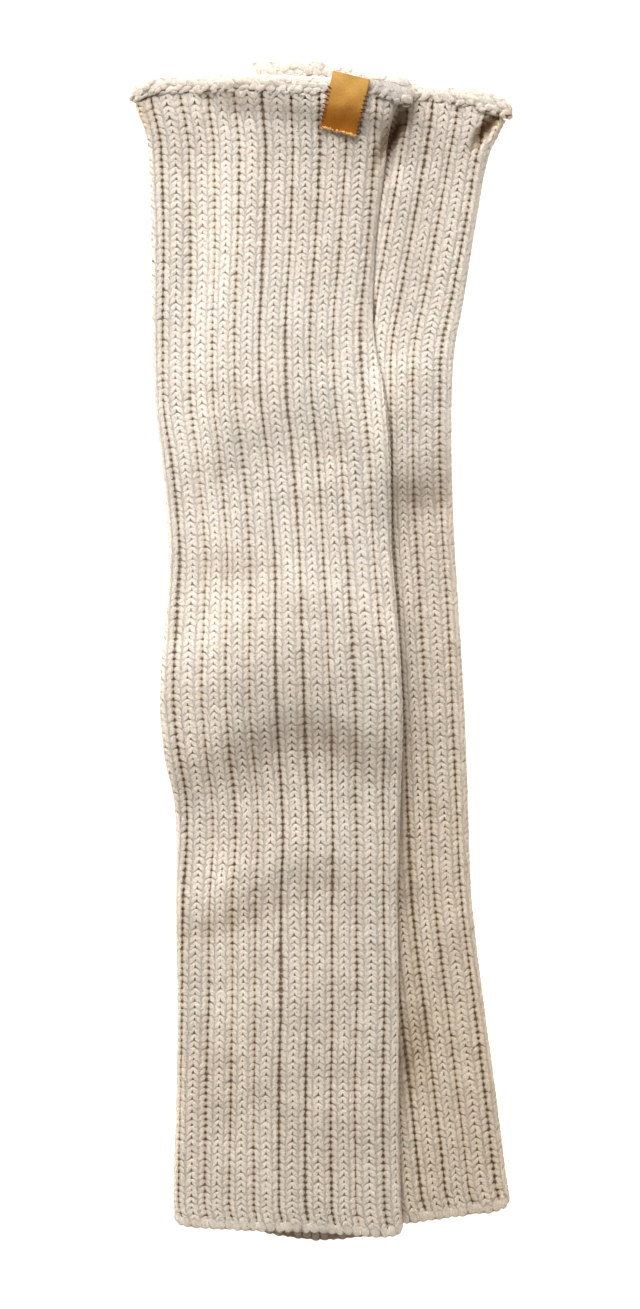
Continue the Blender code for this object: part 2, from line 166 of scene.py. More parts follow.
LEFT_SECTIONS = table(
    Section,
    (-290.8, -16.8, 57.6, 1.5, 0.0, 0.5, -0.19, 0.24),
    (-273.0, -17.8, 57.5, 1.0, 0.0, 0.9, -0.15, 0.22),
    (-223.0, -17.5, 56.3, 0.5, 0.0, 0.6, -0.19, 0.19),
    (-173.0, -17.3, 56.0, 0.0, 0.2, 1.3, -0.16, 0.15),
    (-123.0, -18.0, 56.0, 0.0, 0.0, 0.7, -0.05, 0.24),
    (-92.0, -17.4, 56.3, -0.5, 0.4, 1.4, 0.09, 0.46),
    (-70.0, -17.8, 57.5, -1.5, 0.0, 0.7, 0.18, 0.65),
    (-48.0, -19.9, 60.1, -2.0, 0.6, 1.3, 0.25, 0.67),
    (-20.0, -21.0, 61.0, -1.0, 4.8, 3.1, 0.19, 0.58),
    (27.0, -20.6, 57.9, 0.0, 5.2, 3.3, 0.1, 0.57),
    (52.0, -21.1, 56.4, -1.0, 2.4, 2.2, 0.11, 0.61),
    (102.0, -23.5, 57.8, -4.0, 0.4, 1.0, 0.06, 0.69),
    (127.0, -26.4, 58.1, -4.0, 1.2, 2.0, 0.03, 0.63),
    (160.0, -30.0, 56.0, -3.0, 0.9, 1.6, 0.11, 0.36),
    (202.0, -29.9, 56.6, 0.0, 0.1, 0.9, 0.17, 0.21),
    (253.0, -27.8, 60.3, 1.0, 0.0, 1.4, 0.15, 0.3),
    (259.6, -27.9, 61.2, 1.0, 0.0, 1.5, 0.15, 0.36),
    (266.0, -28.0, 62.7, 1.0, 0.0, 1.6, 0.16, 0.44),
    (272.0, -28.2, 64.4, 1.0, 0.0, 1.65, 0.17, 0.5),
    (278.4, -27.8, 66.2, 1.0, 0.0, 1.7, 0.17, 0.6),
)
RIGHT_SECTIONS = table(
    Section,
    (-285.2, 38.8, 56.3, -8.5, 0.0, 0.4, 0.26, 0.5),
    (-229.9, 31.9, 56.3, -7.0, 0.0, 0.7, 0.34, 0.54),
    (-178.9, 25.1, 56.3, -6.0, 0.0, 1.4, 0.43, 0.58),
    (-127.4, 19.2, 56.3, -4.5, 0.0, 0.8, 0.47, 0.65),
    (-75.9, 17.3, 56.3, -3.0, 0.0, 1.3, 0.46, 0.7),
    (-25.9, 15.3, 56.3, -3.0, 0.0, 1.7, 0.44, 0.69),
    (24.1, 12.3, 56.3, -3.0, 0.0, 0.9, 0.42, 0.64),
    (60.0, 10.2, 56.3, -2.0, 0.0, 0.6, 0.37, 0.61),
    (88.0, 9.2, 56.3, -0.5, 2.6, 3.0, 0.34, 0.57),
    (104.0, 8.9, 56.3, 0.5, 3.0, 3.2, 0.32, 0.54),
    (129.0, 9.0, 56.3, 2.0, 2.4, 3.0, 0.3, 0.52),
    (156.9, 10.6, 56.3, 5.0, 0.7, 1.7, 0.26, 0.54),
    (184.8, 15.5, 56.3, 8.0, 0.1, 0.9, 0.27, 0.52),
    (234.8, 23.5, 56.3, 8.0, 0.0, 0.7, 0.32, 0.49),
    (257.8, 27.3, 57.2, 8.5, 0.0, 1.2, 0.33, 0.56),
    (269.0, 28.6, 60.4, 9.0, 0.0, 1.5, 0.33, 0.65),
    (279.6, 29.4, 63.6, 9.5, 0.0, 1.7, 0.33, 0.75),
)
LEFT_MOUTH = table(
    EndPoint,
    (-1.0, -4.8), (-0.86, -0.9), (-0.6, 1.3), (-0.35, 1.2), (0.0, 0.6), (0.35, 0.3), (0.7, 1.9),
    (0.86, 0.6), (0.95, -3.6), (1.0, -11.0),
)
RIGHT_MOUTH = table(
    EndPoint,
    (-1.0, -5.4), (-0.8, -3.2), (-0.6, -0.4), (-0.3, 1.4), (0.1, -0.4), (0.4, 0.3), (0.65, 1.0),
    (0.85, 0.9), (1.0, -3.2),
)
LEFT_HEM = table(
    EndPoint,
    (-1.0, -4.4), (-0.95, -2.7), (-0.8, -1.9), (-0.5, -1.3), (0.1, -2.1), (0.5, -1.5), (0.85, -0.5),
    (0.96, -2.0), (1.0, -4.6),
)
RIGHT_HEM = table(
    EndPoint,
    (-1.0, -3.0), (-0.85, 0.0), (0.1, 1.0), (0.6, 1.4), (0.85, 1.8), (0.95, 0.4), (1.0, -2.4),
)
LEFT_FOLD_LINE = table(
    FoldLine,
    (-1.0, 33.0, 1.0), (-0.72, 28.0, 1.0), (-0.3, 11.0, 1.0), (0.25, 0.0, 1.0), (0.74, 18.0, 1.0),
    (1.0, 24.0, 1.0),
)
RIGHT_FOLD_LINE = table(
    FoldLine,
    (-1.0, 0.0, 0.2), (0.15, 0.0, 0.2), (0.42, 0.0, 1.0), (0.96, -14.0, 1.0), (1.0, -15.0, 1.0),
)
UNDER_HEM_DROP = 4.3
UNDER_HEM_MIDDLE = 0.22
UNDER_HEM_SPREAD = 0.66

# How far the groove at a place round the leg lies from its even place, in ribs, and how wide it stands open
RIB_LINES = table(
    RibLine,
    (0.0, 0.0, 0.0), (0.5, 0.01, 0.5), (1.5, 0.06, -0.2), (2.5, 0.0, -0.1), (3.5, -0.06, -0.3),
    (4.5, -0.04, 1.0), (5.5, 0.0, 0.9), (6.5, 0.0, 0.5), (7.5, -0.04, 0.1), (8.5, 0.07, 0.3),
    (9.5, 0.0, 0.2), (18.0, 0.0, 0.0),
)

# Soft ridges and, with a height below 0, troughs in the upper panels
LEFT_FOLDS = table(
    Fold,
    (32.5, 256.0, 24.0, 6.0, 68.0, -2.0),
    (-9.0, 166.0, 74.0, 34.0, 96.0, 0.3),
    (-52.0, 196.0, 60.0, 24.0, 12.0, 0.25),
    (-44.0, 128.0, 46.0, 14.0, -9.0, -0.35),
    (-8.0, 84.0, 38.0, 13.0, 14.0, 0.3),
    (-50.0, 42.0, 64.0, 22.0, -6.0, -0.4),
    (-30.0, -3.0, 112.0, 34.0, 8.0, 0.85),
    (-46.0, -54.0, 92.0, 26.0, 16.0, -0.4),
    (6.0, -46.0, 56.0, 18.0, -20.0, -0.5),
    (-24.0, -80.0, 70.0, 14.0, 4.0, 0.3),
    (-36.0, -112.0, 92.0, 17.0, 21.0, 0.65),
    (-42.0, -131.0, 84.0, 16.0, 19.0, -0.5),
    (10.0, -116.0, 44.0, 12.0, -14.0, -0.3),
    (-30.0, -176.0, 76.0, 18.0, 9.0, 0.4),
    (-52.0, -206.0, 48.0, 16.0, -12.0, -0.35),
    (-6.0, -228.0, 58.0, 15.0, 7.0, 0.3),
)
RIGHT_FOLDS = table(
    Fold,
    (83.0, 264.0, 23.0, 4.4, 52.0, -3.8),
    (35.6, 260.5, 23.0, 5.6, 66.0, -3.9),
    (31.5, 240.0, 24.0, 5.0, 86.0, -0.8),
    (54.0, 196.0, 52.0, 15.0, 102.0, 0.5),
    (52.0, 149.0, 40.0, 22.0, 84.0, 1.0),
    (50.0, 78.0, 34.0, 15.0, -8.0, -0.9),
    (44.0, 30.0, 44.0, 12.0, 72.0, 0.4),
    (43.0, -108.0, 120.0, 13.0, 90.0, -0.5),
    (46.0, -196.0, 62.0, 17.0, 84.0, -0.9),
    (60.0, -150.0, 54.0, 16.0, 66.0, 0.4),
    (72.0, -236.0, 48.0, 14.0, 100.0, 0.35),
)
# How the lower leg swells beside the upper one's edge, and how that edge is pressed thin, in mm
SWELL_HEIGHT = 3.7
SWELL_FROM, SWELL_FULL, SWELL_FALLS, SWELL_ENDS = -2.6, 1.0, 3.0, 30.0
SWELL_STOPS = 250.0, 232.0  # short of the mouths
SWELL_SINKS = 150.0, 85.0  # to its share of height lower down
LOW_SWELL = 0.3
EDGE_PINCH, LOW_PINCH = 1.4, 0.6
PINCHED = 0.82, 0.98  # from the leg's middle to its edge
# How an upper panel climbs to its roll
CLIMB_HEIGHT, CLIMB_LENGTH, CLIMB_STOPS = 1.9, 38.0, 4.0
CLIMB_FREE = 8.0  # from the upper leg's edge to where the lower one climbs fully
LEAST_GAP = 0.2  # between the panels

# How thick a roll is at a share of its way round, from its left end over the top and back underneath, and how
# much wider it lies towards the ribs and away from them
LEFT_SWELL = table(
    RollSwell,
    (0.0, 0.98, 0.0, 0.0), (0.05, 1.04, 0.0, 0.0), (0.15, 1.0, 0.1, 0.0), (0.27, 1.05, 0.0, 0.0),
    (0.36, 0.98, 0.05, 0.0), (0.42, 1.05, 0.2, 0.0), (0.45, 1.14, 0.5, 0.0), (0.475, 1.2, 0.55, 0.1),
    (0.495, 1.18, -0.35, 0.9), (0.51, 1.1, -0.2, 0.8), (0.54, 1.0, 0.0, 0.3), (0.6, 1.0, 0.0, 0.0),
    (0.8, 1.0, 0.0, 0.0), (1.0, 0.98, 0.0, 0.0),
)
RIGHT_SWELL = table(
    RollSwell,
    (0.0, 1.0, 0.0, 0.75), (0.03, 1.02, 0.0, 0.6), (0.12, 1.04, 0.0, 0.45), (0.2, 1.04, 0.0, 0.15),
    (0.3, 1.0, 0.0, 0.0), (0.4, 1.08, 0.0, 0.0), (0.455, 1.2, 0.2, 0.0), (0.485, 1.02, 0.0, 0.1),
    (0.5, 0.78, -0.1, 0.2), (0.53, 0.95, 0.0, 0.0), (0.7, 1.0, 0.0, 0.0), (0.96, 1.0, 0.0, 0.2),
    (1.0, 1.0, 0.0, 0.75),
)
# The rows of bars on a roll, by their place round it in degrees, 0 outwards, 90 away from the ribs
ROLL_ROWS = table(
    RollRow,
    (-104.0, 3.4, 2.6, 1.7, 40.0, 0.1),
    (-72.0, 3.8, 2.7, 1.7, 34.0, 0.05),
    (-36.0, 4.8, 2.6, 1.4, 20.0, -0.1),
    (-2.0, 5.2, 2.6, 1.2, -12.0, -0.2),
    (32.0, 5.6, 2.6, 1.1, 10.0, -0.25),
    (66.0, 5.6, 2.6, 1.1, -8.0, -0.25),
    (104.0, 6.0, 2.6, 0.9, 0.0, -0.3),
    *((turn, 6.0, 2.6, 0.8, 0.0, -0.35) for turn in (142.0, 184.0, 222.0)),
)

LEFT_ROLL = RollSpan(2.0, 68.4)
RIGHT_ROLL = RollSpan(0.4, 65.0)

LEFT_LEG = Leg(
    "left_leg", LEFT_SECTIONS, LEFT_MOUTH, LEFT_ROLL, LEFT_HEM, LEFT_FOLD_LINE, UNDER_HEM_DROP,
    True, LEFT_FOLDS, LEFT_SWELL
)
RIGHT_LEG = Leg(
    "right_leg", RIGHT_SECTIONS, RIGHT_MOUTH, RIGHT_ROLL, RIGHT_HEM, RIGHT_FOLD_LINE, 0.0,
    False, RIGHT_FOLDS, RIGHT_SWELL
)


# ---- the form of the cloth, as in the solids ----

def smoothstep(low, high, value):
    share = np.clip((value - low) / (high - low), 0.0, 1.0)
    return share * share * (3 - 2 * share)


def mix(low, high, share):
    return low + (high - low) * share


def through(rows, places):
    """Every column of a table at places in its first column, on smooth curves through its rows."""
    table = np.array(rows)
    last = len(table) - 1
    start = np.clip(np.searchsorted(table[:, 0], places, side="right") - 1, 0, last - 1)
    low, high = table[start], table[start + 1]
    before, after = table[np.maximum(start - 1, 0)], table[np.minimum(start + 2, last)]
    span = high[..., :1] - low[..., :1]
    share = np.clip((np.asarray(places)[..., None] - low[..., :1]) / span, 0.0, 1.0)
    slope_low = (high - before) / (high[..., :1] - before[..., :1]) * span
    slope_high = (after - low) / (after[..., :1] - low[..., :1]) * span
    square = share * share
    cube = square * share
    found = low + (high - low) * (3 * square - 2 * cube)
    found += slope_low * (cube - 2 * square + share) + slope_high * (cube - square)
    return type(rows[0])(*np.moveaxis(found, -1, 0))


def bulge(across):
    return 1 - np.minimum(np.abs(across), 1.0) ** BULGE_POWER


def lift_and_puff(sections, fold_line, place, across):
    """How far a leg is lifted and puffed at a share of its half width: its folds hang lower at the sides."""
    line = through(fold_line, across)
    section = through(sections, place + line.sag)
    return np.maximum(section.lift * line.felt, 0.0), section.puff * line.felt


def rest_height(x, y):
    """The height of what the left leg lies on: the floor, the ramp, or the top of the right leg."""
    place = y
    for _ in range(TURNS_TO_SETTLE):
        section = through(RIGHT_SECTIONS, place)
        place = y + (x - section.x) * np.tan(np.radians(section.tilt))
    section = through(RIGHT_SECTIONS, place)
    across = (x - section.x) / np.cos(np.radians(section.tilt))
    rise = smoothstep(-RISE_START, -RISE_END, place - RIGHT_SECTIONS[-1].y)
    share = across / section.half
    lift, puff = lift_and_puff(RIGHT_SECTIONS, RIGHT_FOLD_LINE, place, share)
    cloth = lift + FLAT_HEIGHT + puff * bulge(share)
    full = cloth + (ROLL_HEIGHT - cloth) * rise + REST_GAP
    return full * smoothstep(-RAMP, -RAMP_END, across + section.half + FLARE * rise)


def floor_of(leg, x, y):
    return rest_height(x, y) if leg.on_top else 0 * x


def flat_loop(half, radius, share):
    """Points of a flattened loop, from its left end over the top: across, height, and outward direction."""
    straight = 2 * (half - radius)
    quarter = math.pi * radius / 2
    whole = 2 * straight + 4 * quarter
    travel = (share % 1.0) * whole
    facing = np.where(travel > whole / 2, -1.0, 1.0)
    travel = np.where(travel > whole / 2, whole - travel, travel)
    left_turn = np.minimum(travel / radius, math.pi / 2)
    right_turn = np.clip((travel - quarter - straight) / radius, 0.0, math.pi / 2)
    centre = radius - half + np.clip(travel - quarter, 0.0, straight)
    out_across = np.sin(right_turn) - np.cos(left_turn)
    out_up = facing * np.sin(left_turn) * np.cos(right_turn)
    return centre + radius * out_across, out_up, out_across


def end_reach(leg, section, across, side, inwards):
    """How far the line of the hem or the mouth moves points along the leg."""
    mouth_share = smoothstep(-END_FADE, 0.0, section.y - leg.sections[-1].y)
    hem_share = smoothstep(-END_FADE, 0.0, leg.sections[0].y - section.y)
    on_hem = np.clip(across / (section.half + inwards), -1.0, 1.0)
    on_mouth = np.clip((across - leg.roll.shift) / (leg.roll.half + inwards), -1.0, 1.0)
    reach = mouth_share * through(leg.mouth, on_mouth).out - hem_share * through(leg.hem, on_hem).out
    off_middle = np.minimum(np.abs(on_hem - UNDER_HEM_MIDDLE) / UNDER_HEM_SPREAD, 1.0)
    drop = hem_share * leg.under_hem_drop * np.cos(off_middle * math.pi / 2) ** 2
    return reach - np.where(side < 0, drop, 0.0)


def place_on_leg(leg, section, across, side, inwards=0.0):
    tilt = np.radians(section.tilt)
    x = section.x + across * np.cos(tilt)
    y = section.y - across * np.sin(tilt) + end_reach(leg, section, across, side, inwards)
    return x, y


def round_the_leg(ribs, shift, narrowing):
    """Where a place counted in ribs lies round the leg, as a share: its upper ribs lie narrow and uneven."""
    turn = ribs % RIBS_ROUND
    to_right = np.minimum(turn, RIBS_ROUND - turn) / HALF_ROUND
    return (ribs + shift - narrowing * to_right + through(RIB_LINES, turn).drift) / RIBS_ROUND


def fold_height(leg, x, y):
    """How far the folds raise the upper panel, or let it down."""
    height = 0 * x
    for fold in leg.folds:
        turn = math.radians(fold.turn)
        along = (x - fold.x) * math.cos(turn) + (y - fold.y) * math.sin(turn)
        across = (y - fold.y) * math.cos(turn) - (x - fold.x) * math.sin(turn)
        off = (2 * along / fold.length) ** 2 + (2 * across / fold.width) ** 2
        height = height + fold.height * np.exp(-off)
    return height


def off_edge(x, y):
    """How far a place lies to the right of the upper leg's edge."""
    over = through(LEFT_SECTIONS, y)
    return x - over.x - over.half


def beside_height(leg, x, y):
    """How far the lower leg's upper panel swells just beside the upper leg, where nothing presses it."""
    if leg.on_top:
        return 0 * x
    beside = off_edge(x, y)
    ridge = smoothstep(SWELL_FROM, SWELL_FULL, beside) * smoothstep(SWELL_ENDS, SWELL_FALLS, beside)
    lower_down = mix(1.0, LOW_SWELL, smoothstep(*SWELL_SINKS, y))
    return SWELL_HEIGHT * ridge * smoothstep(*SWELL_STOPS, y) * lower_down


def climb_height(leg, x, y):
    """How far the upper panel climbs to its roll, where it lies free."""
    mouth = leg.sections[-1]
    line = mouth.y - (x - mouth.x) * math.tan(math.radians(mouth.tilt))
    climb = CLIMB_HEIGHT * smoothstep(-CLIMB_LENGTH, -CLIMB_STOPS, y - line)
    return climb if leg.on_top else climb * smoothstep(0.0, CLIMB_FREE, off_edge(x, y))


def pinch(leg, share, y):
    """How far the upper leg is pressed thin along the edge that lies on the lower one."""
    if not leg.on_top:
        return 0 * share
    return EDGE_PINCH * smoothstep(*PINCHED, share) * mix(1.0, LOW_PINCH, smoothstep(*SWELL_SINKS, y))


def in_frame(x, y, z):
    return np.stack((x - MIDDLE_X, y - MIDDLE_Y, z), axis=-1)


def loop_points(leg, share, along, inwards, low, thick, least):
    """Points of a flat loop round a leg, and which way they face, from -1 below to 1 on top.

    The loop starts low over what the leg lies on, and its upper half follows the upper panel.
    """
    section = through(leg.sections, along)
    across, side, _ = flat_loop(section.half - inwards, thick / 2, share)
    x, y = place_on_leg(leg, section, across, side)
    on_leg = across / section.half
    lift, puff = lift_and_puff(leg.sections, leg.fold_line, along, on_leg)
    raised = puff * bulge(on_leg) + fold_height(leg, x, y)
    raised = raised + beside_height(leg, x, y) + climb_height(leg, x, y)
    height = np.maximum(thick + (raised - pinch(leg, on_leg, y)), least)
    return in_frame(x, y, floor_of(leg, x, y) + lift + low + (side + 1) / 2 * height), side


def crest_points(leg, share, along):
    """Points on the plane of the rib crests."""
    return loop_points(leg, share, along, 0.0, 0.0, FLAT_HEIGHT, 0.0)


def inside_points(leg, share, along):
    """Points on the plain inside of the tube."""
    return loop_points(leg, share, along, SIDE_WALL, UNDER_WALL, PANEL_GAP, LEAST_GAP)[0]


def lay_cloth(leg):
    """A fine grid of the crest plane with its outward directions, for the stitches to be laid on."""
    start, end = leg.sections[0].y, leg.sections[-1].y
    rows = round((end - start) / ROW_PITCH)
    along = np.linspace(start, end, rows * ROWS_A_STITCH + 1)
    share = np.arange(GRID_COLUMNS) / GRID_COLUMNS
    points, sides = crest_points(leg, *np.broadcast_arrays(share[None, :], along[:, None]))
    round_it = np.roll(points, -1, axis=1) - np.roll(points, 1, axis=1)
    up_it = np.gradient(points, axis=0)
    normals = np.cross(round_it, up_it)
    normals /= np.linalg.norm(normals, axis=-1, keepdims=True)
    section = through(leg.sections, along)
    folds = fold_height(leg, points[..., 0] + MIDDLE_X, points[..., 1] + MIDDLE_Y)
    hollows = np.maximum(-folds, 0.0) * (sides > 0)
    return Cloth(points, normals, sides, hollows, np.stack((section.shift, section.narrowing)), rows)


def share_at(cloth, ribs, rows):
    """Where places counted in ribs and rows of stitches lie round the leg, as shares."""
    grid_rows = np.arange(cloth.turns.shape[1])
    shift, narrowing = (np.interp(rows * ROWS_A_STITCH, grid_rows, turn) for turn in cloth.turns)
    return round_the_leg(ribs, shift, narrowing)


def read_grid(grid, share, rows):
    """The grid's values between its points: closed round the leg, carried straight on past its ends."""
    column = share * GRID_COLUMNS
    row = rows * ROWS_A_STITCH
    left = np.floor(column).astype(int)
    low = np.clip(np.floor(row).astype(int), 0, len(grid) - 2)
    shape = (...,) + (None,) * (grid.ndim - 2)
    across, up = (column - left)[shape], (row - low)[shape]
    left, right = left % GRID_COLUMNS, (left + 1) % GRID_COLUMNS
    lower = grid[low, left] * (1 - across) + grid[low, right] * across
    upper = grid[low + 1, left] * (1 - across) + grid[low + 1, right] * across
    return lower * (1 - up) + upper * up


# ---- relief of the ribs ----

def off_crest(ribs):
    return np.abs(ribs - np.round(ribs))


def upper_share(sides):
    """How much relief the cloth has: all of it on top, almost none where it lies pressed underneath."""
    return smoothstep(RIBS_FADE_TO, RIBS_FADE_FROM, sides)


def rib_relief(ribs):
    """How far the knitting lies below the crest plane across a rib, in mm."""
    off = off_crest(ribs)
    rounding = CREST_ROUNDING * (off / CREST_SPAN) ** 2
    return rounding + (GROOVE_DEPTH - CREST_ROUNDING) * smoothstep(*GROOVE_SLOPE, off)


def wander(ribs, rows, seed):
    """Slow unevenness of hand, between about -1 and 1, over ribs and rows."""
    wave = np.sin(rows * 0.113 + seed + ribs * 1.9) + np.sin(rows * 0.047 - ribs * 2.7 + 2 * seed)
    return (wave + np.sin(rows * 0.291 + ribs * 4.1 + 3 * seed)) / 3


def on_cloth(cloth, ribs, rows, out):
    """Points at a height out of the crest plane, for places counted in ribs and in rows of stitches."""
    drift = RIB_WANDER * wander(np.round(ribs), rows, 0.4)
    hem_drift = HEM_WANDER * smoothstep(HEM_WANDER_ROWS, 0.0, rows)
    share = share_at(cloth, ribs + drift + hem_drift, rows)
    points = read_grid(cloth.points, share, rows) + read_grid(cloth.normals, share, rows) * out[..., None]
    points[..., 2] = np.maximum(points[..., 2], OFF_FLOOR)
    return points


def cloth_facing(cloth, ribs, rows):
    return read_grid(cloth.normals, share_at(cloth, ribs, rows), rows)


def soften(piece, facing, nap):
    """Turn a piece's shading normals part of the way to those of the cloth, as a nap of loose fibres does."""
    mesh = piece.data
    own = np.empty(len(mesh.vertices) * 3, dtype=np.float32)
    mesh.vertex_normals.foreach_get("vector", own)
    blended = mix(own.reshape(-1, 3), facing.reshape(-1, 3), nap)
    mesh.normals_split_custom_set_from_vertices(blended)
    return piece


def hollow(cloth, ribs, rows):
    # Painted shade in the troughs of the folds, counted as extra depth
    return HOLLOW_IN_SHADE * read_grid(cloth.hollows, share_at(cloth, ribs, rows), rows)


def facing_up(cloth, ribs, rows):
    return upper_share(read_grid(cloth.sides, share_at(cloth, ribs, rows), rows))


# ---- making meshes ----

def new_object(name, data):
    made = bpy.data.objects.new(name, data)
    bpy.context.scene.collection.objects.link(made)
    return made


def mesh_from(maker, name):
    mesh = bpy.data.meshes.new(name)
    maker.to_mesh(mesh)
    maker.free()
    return mesh


def new_piece(name, mesh, material):
    mesh.materials.append(material)
    mesh.shade_smooth()
    piece = new_object(name, mesh)
    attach(piece, BODY)
    return piece


def give_values(mesh, name, values):
    layer = mesh.attributes.new(name, "FLOAT", "POINT")
    layer.data.foreach_set("value", np.ascontiguousarray(values, dtype=np.float32).ravel())


def bead(sides, rings, plumpness=1.0):
    """A small closed bead of radius 1 along Z, its ends blunter as its plumpness comes down from 1."""
    maker = bmesh.new()
    bmesh.ops.create_uvsphere(maker, u_segments=sides, v_segments=rings + 1, radius=1.0)
    maker.verts.ensure_lookup_table()
    points = np.array([corner.co[:] for corner in maker.verts])
    faces = [[corner.index for corner in face.verts] for face in maker.faces]
    maker.free()
    radius = np.hypot(points[:, 0], points[:, 1])
    points[:, :2] *= np.maximum(radius, POLE)[:, None] ** (plumpness - 1)
    points[radius < POLE, :2] = 0.0
    return Bead(*points.T, faces)


def turned_outwards(corners, faces):
    """The faces of a small closed shape, each in the order that makes it point outwards."""
    spokes = corners - corners.mean(axis=0)
    volume = sum(np.dot(np.cross(spokes[face[0]], spokes[face[1]]), spokes[face[2]]) for face in faces)
    return faces if volume > 0 else [face[::-1] for face in faces]


def lay_yarn(name, points, shape, depth, tints, material, crosswise=False):
    """A piece with a copy of a bead at each of many places: points are (copies, corners, xyz) in mm.

    Its own map runs along the yarn in U, which is the bead's length or its width, and round it in V.
    """
    faces = turned_outwards(points[0], shape.faces)
    copies, corners = points.shape[:2]
    mesh = bpy.data.meshes.new(name)
    sizes = np.array([len(face) for face in faces])
    ring = np.concatenate(faces)
    first = np.arange(copies)[:, None] * corners
    starts = np.concatenate(([0], np.cumsum(sizes)[:-1]))
    mesh.vertices.add(copies * corners)
    mesh.vertices.foreach_set("co", (points * MM).astype(np.float32).ravel())
    mesh.loops.add(copies * len(ring))
    mesh.loops.foreach_set("vertex_index", (first + ring).astype(np.int32).ravel())
    mesh.polygons.add(copies * len(faces))
    loop_starts = np.arange(copies)[:, None] * len(ring) + starts
    mesh.polygons.foreach_set("loop_start", loop_starts.astype(np.int32).ravel())
    mesh.update(calc_edges=True)
    give_values(mesh, "depth", depth)
    give_values(mesh, "tint", np.broadcast_to(tints, (copies, corners)))
    along, over = (shape.wide, shape.long) if crosswise else (shape.long, shape.wide)
    turn = np.arctan2(over, shape.thick) / (2 * math.pi) + 0.5
    yarn = np.broadcast_to(np.stack(((along + 1) / 2, turn), axis=-1)[ring], (copies, len(ring), 2))
    mesh.uv_layers.new(name="yarn").data.foreach_set("uv", yarn.astype(np.float32).ravel())
    return new_piece(name, mesh, material)


# ---- stitches ----

def every(*lists):
    """Every choice of one value from each list, as a column for each list."""
    return (grid.ravel()[:, None] for grid in np.meshgrid(*lists, indexing="ij"))


def uneven(rng, like, spread):
    """What differs by chance from one place to the next."""
    return spread * rng.standard_normal(like.shape)


def yarn_tints(rng, ribs, rows):
    """How light each stitch's yarn is, from 0 to 1: the heather changes slowly along the spun yarn."""
    strand = rows * RIBS_ROUND + ribs
    knots = rng.random(int(strand.max() / STRAND) + 3)
    slow = np.interp(strand / STRAND, np.arange(len(knots)), knots)
    return STRAND_TINT * slow + STITCH_TINT * rng.random(strand.shape)


def v_arms(ribs, rows):
    """Where each arm of each V stitch goes: its wale, which arm it is, and its row."""
    wales = np.array([rib + side * WALE_OFFSET for rib in ribs for side in (-1, 1)])
    return every(wales, np.array([-1.0, 1.0]), rows)


def knit_stitches(name, cloth, ribs, material, shape, rng):
    """Every V stitch of some ribs: two plump arms of yarn that rise from a row and dive behind the next."""
    wale, arm, row = v_arms(ribs, np.arange(FIRST_ROW, cloth.rows - LAST_ROW))
    inner = arm * (wale - np.round(wale)) < 0
    share = (shape.long[None, :] + 1) / 2
    size = 1 + uneven(rng, wale, SIZE_SPREAD)
    reach = np.where(inner, INNER_REACH, OUTER_REACH) * (1 + uneven(rng, wale, REACH_SPREAD))
    groove = np.round(wale) + GROOVE * arm
    opening = through(RIB_LINES, groove % RIBS_ROUND).opening + OPENING_WANDER * wander(groove, row, 1.7)
    openness = np.where(inner, 0.0, GROOVE_OPENS * opening)
    climb = np.where(inner, INNER_ROWS, OUTER_ROWS) + uneven(rng, wale, PLACE_SPREAD)
    middle = wale + arm * mix(0.0, reach - openness, share + ARM_BOW * np.sin(math.pi * share))
    height = row + mix(-TUCK_ROWS, climb, share) + uneven(rng, wale, PLACE_SPREAD)
    run_across = arm * reach * RIB_PITCH
    run_up = (climb + TUCK_ROWS) * ROW_PITCH
    length = np.hypot(run_across, run_up)
    sideways = shape.wide[None, :] * YARN_WIDE / 2 * size
    lower_side = inner & (shape.wide[None, :] * arm > 0)
    sideways = sideways * (1 - NOTCH * smoothstep(*NOTCHED, share) * lower_side)
    sideways = sideways * (1 - FOOT_NARROWING * smoothstep(*FOOT_NARROWED, share))
    at_ribs = middle + sideways * run_up / length / RIB_PITCH
    at_rows = height - sideways * run_across / length / ROW_PITCH
    upper = facing_up(cloth, middle, height)
    thickness = mix(YARN_THICK_UNDER, YARN_THICK, upper) / 2 * size
    rise = np.where(inner, INNER_RISE, 0.0) - FOOT_SINK * (1 - share) ** 2 - TOP_SINK * share**4
    sunk = mix(YARN_DEPTH_UNDER, YARN_DEPTH, upper) + upper * (rib_relief(at_ribs) - rise)
    out = shape.thick[None, :] * thickness - sunk + upper * uneven(rng, wale, HEIGHT_SPREAD)
    points = on_cloth(cloth, at_ribs, at_rows, out)
    depth = hollow(cloth, middle, height) - out
    piece = lay_yarn(name, points, shape, depth, yarn_tints(rng, wale, row), material)
    return soften(piece, cloth_facing(cloth, at_ribs, at_rows), NAP)


def groove_loops(name, cloth, ribs, material, shape, rng):
    """The purl side that shows at the bottom of the grooves: one short bar of yarn for each row."""
    rows = np.arange(FIRST_ROW + BAR_ROW, cloth.rows - LAST_ROW)
    place, row = every(np.array(ribs) + GROOVE, rows)
    size = 1 + uneven(rng, place, BAR_SIZE_SPREAD)
    at_ribs = place + shape.long * BAR_LONG / 2 * size / RIB_PITCH
    at_rows = row + shape.wide * BAR_WIDE / 2 * size / ROW_PITCH + uneven(rng, place, BAR_PLACE_SPREAD)
    out = shape.thick * BAR_THICK / 2 - BAR_DEPTH + uneven(rng, place, BAR_HEIGHT_SPREAD)
    points = on_cloth(cloth, at_ribs, at_rows, out)
    return lay_yarn(name, points, shape, -out, yarn_tints(rng, place, row), material)


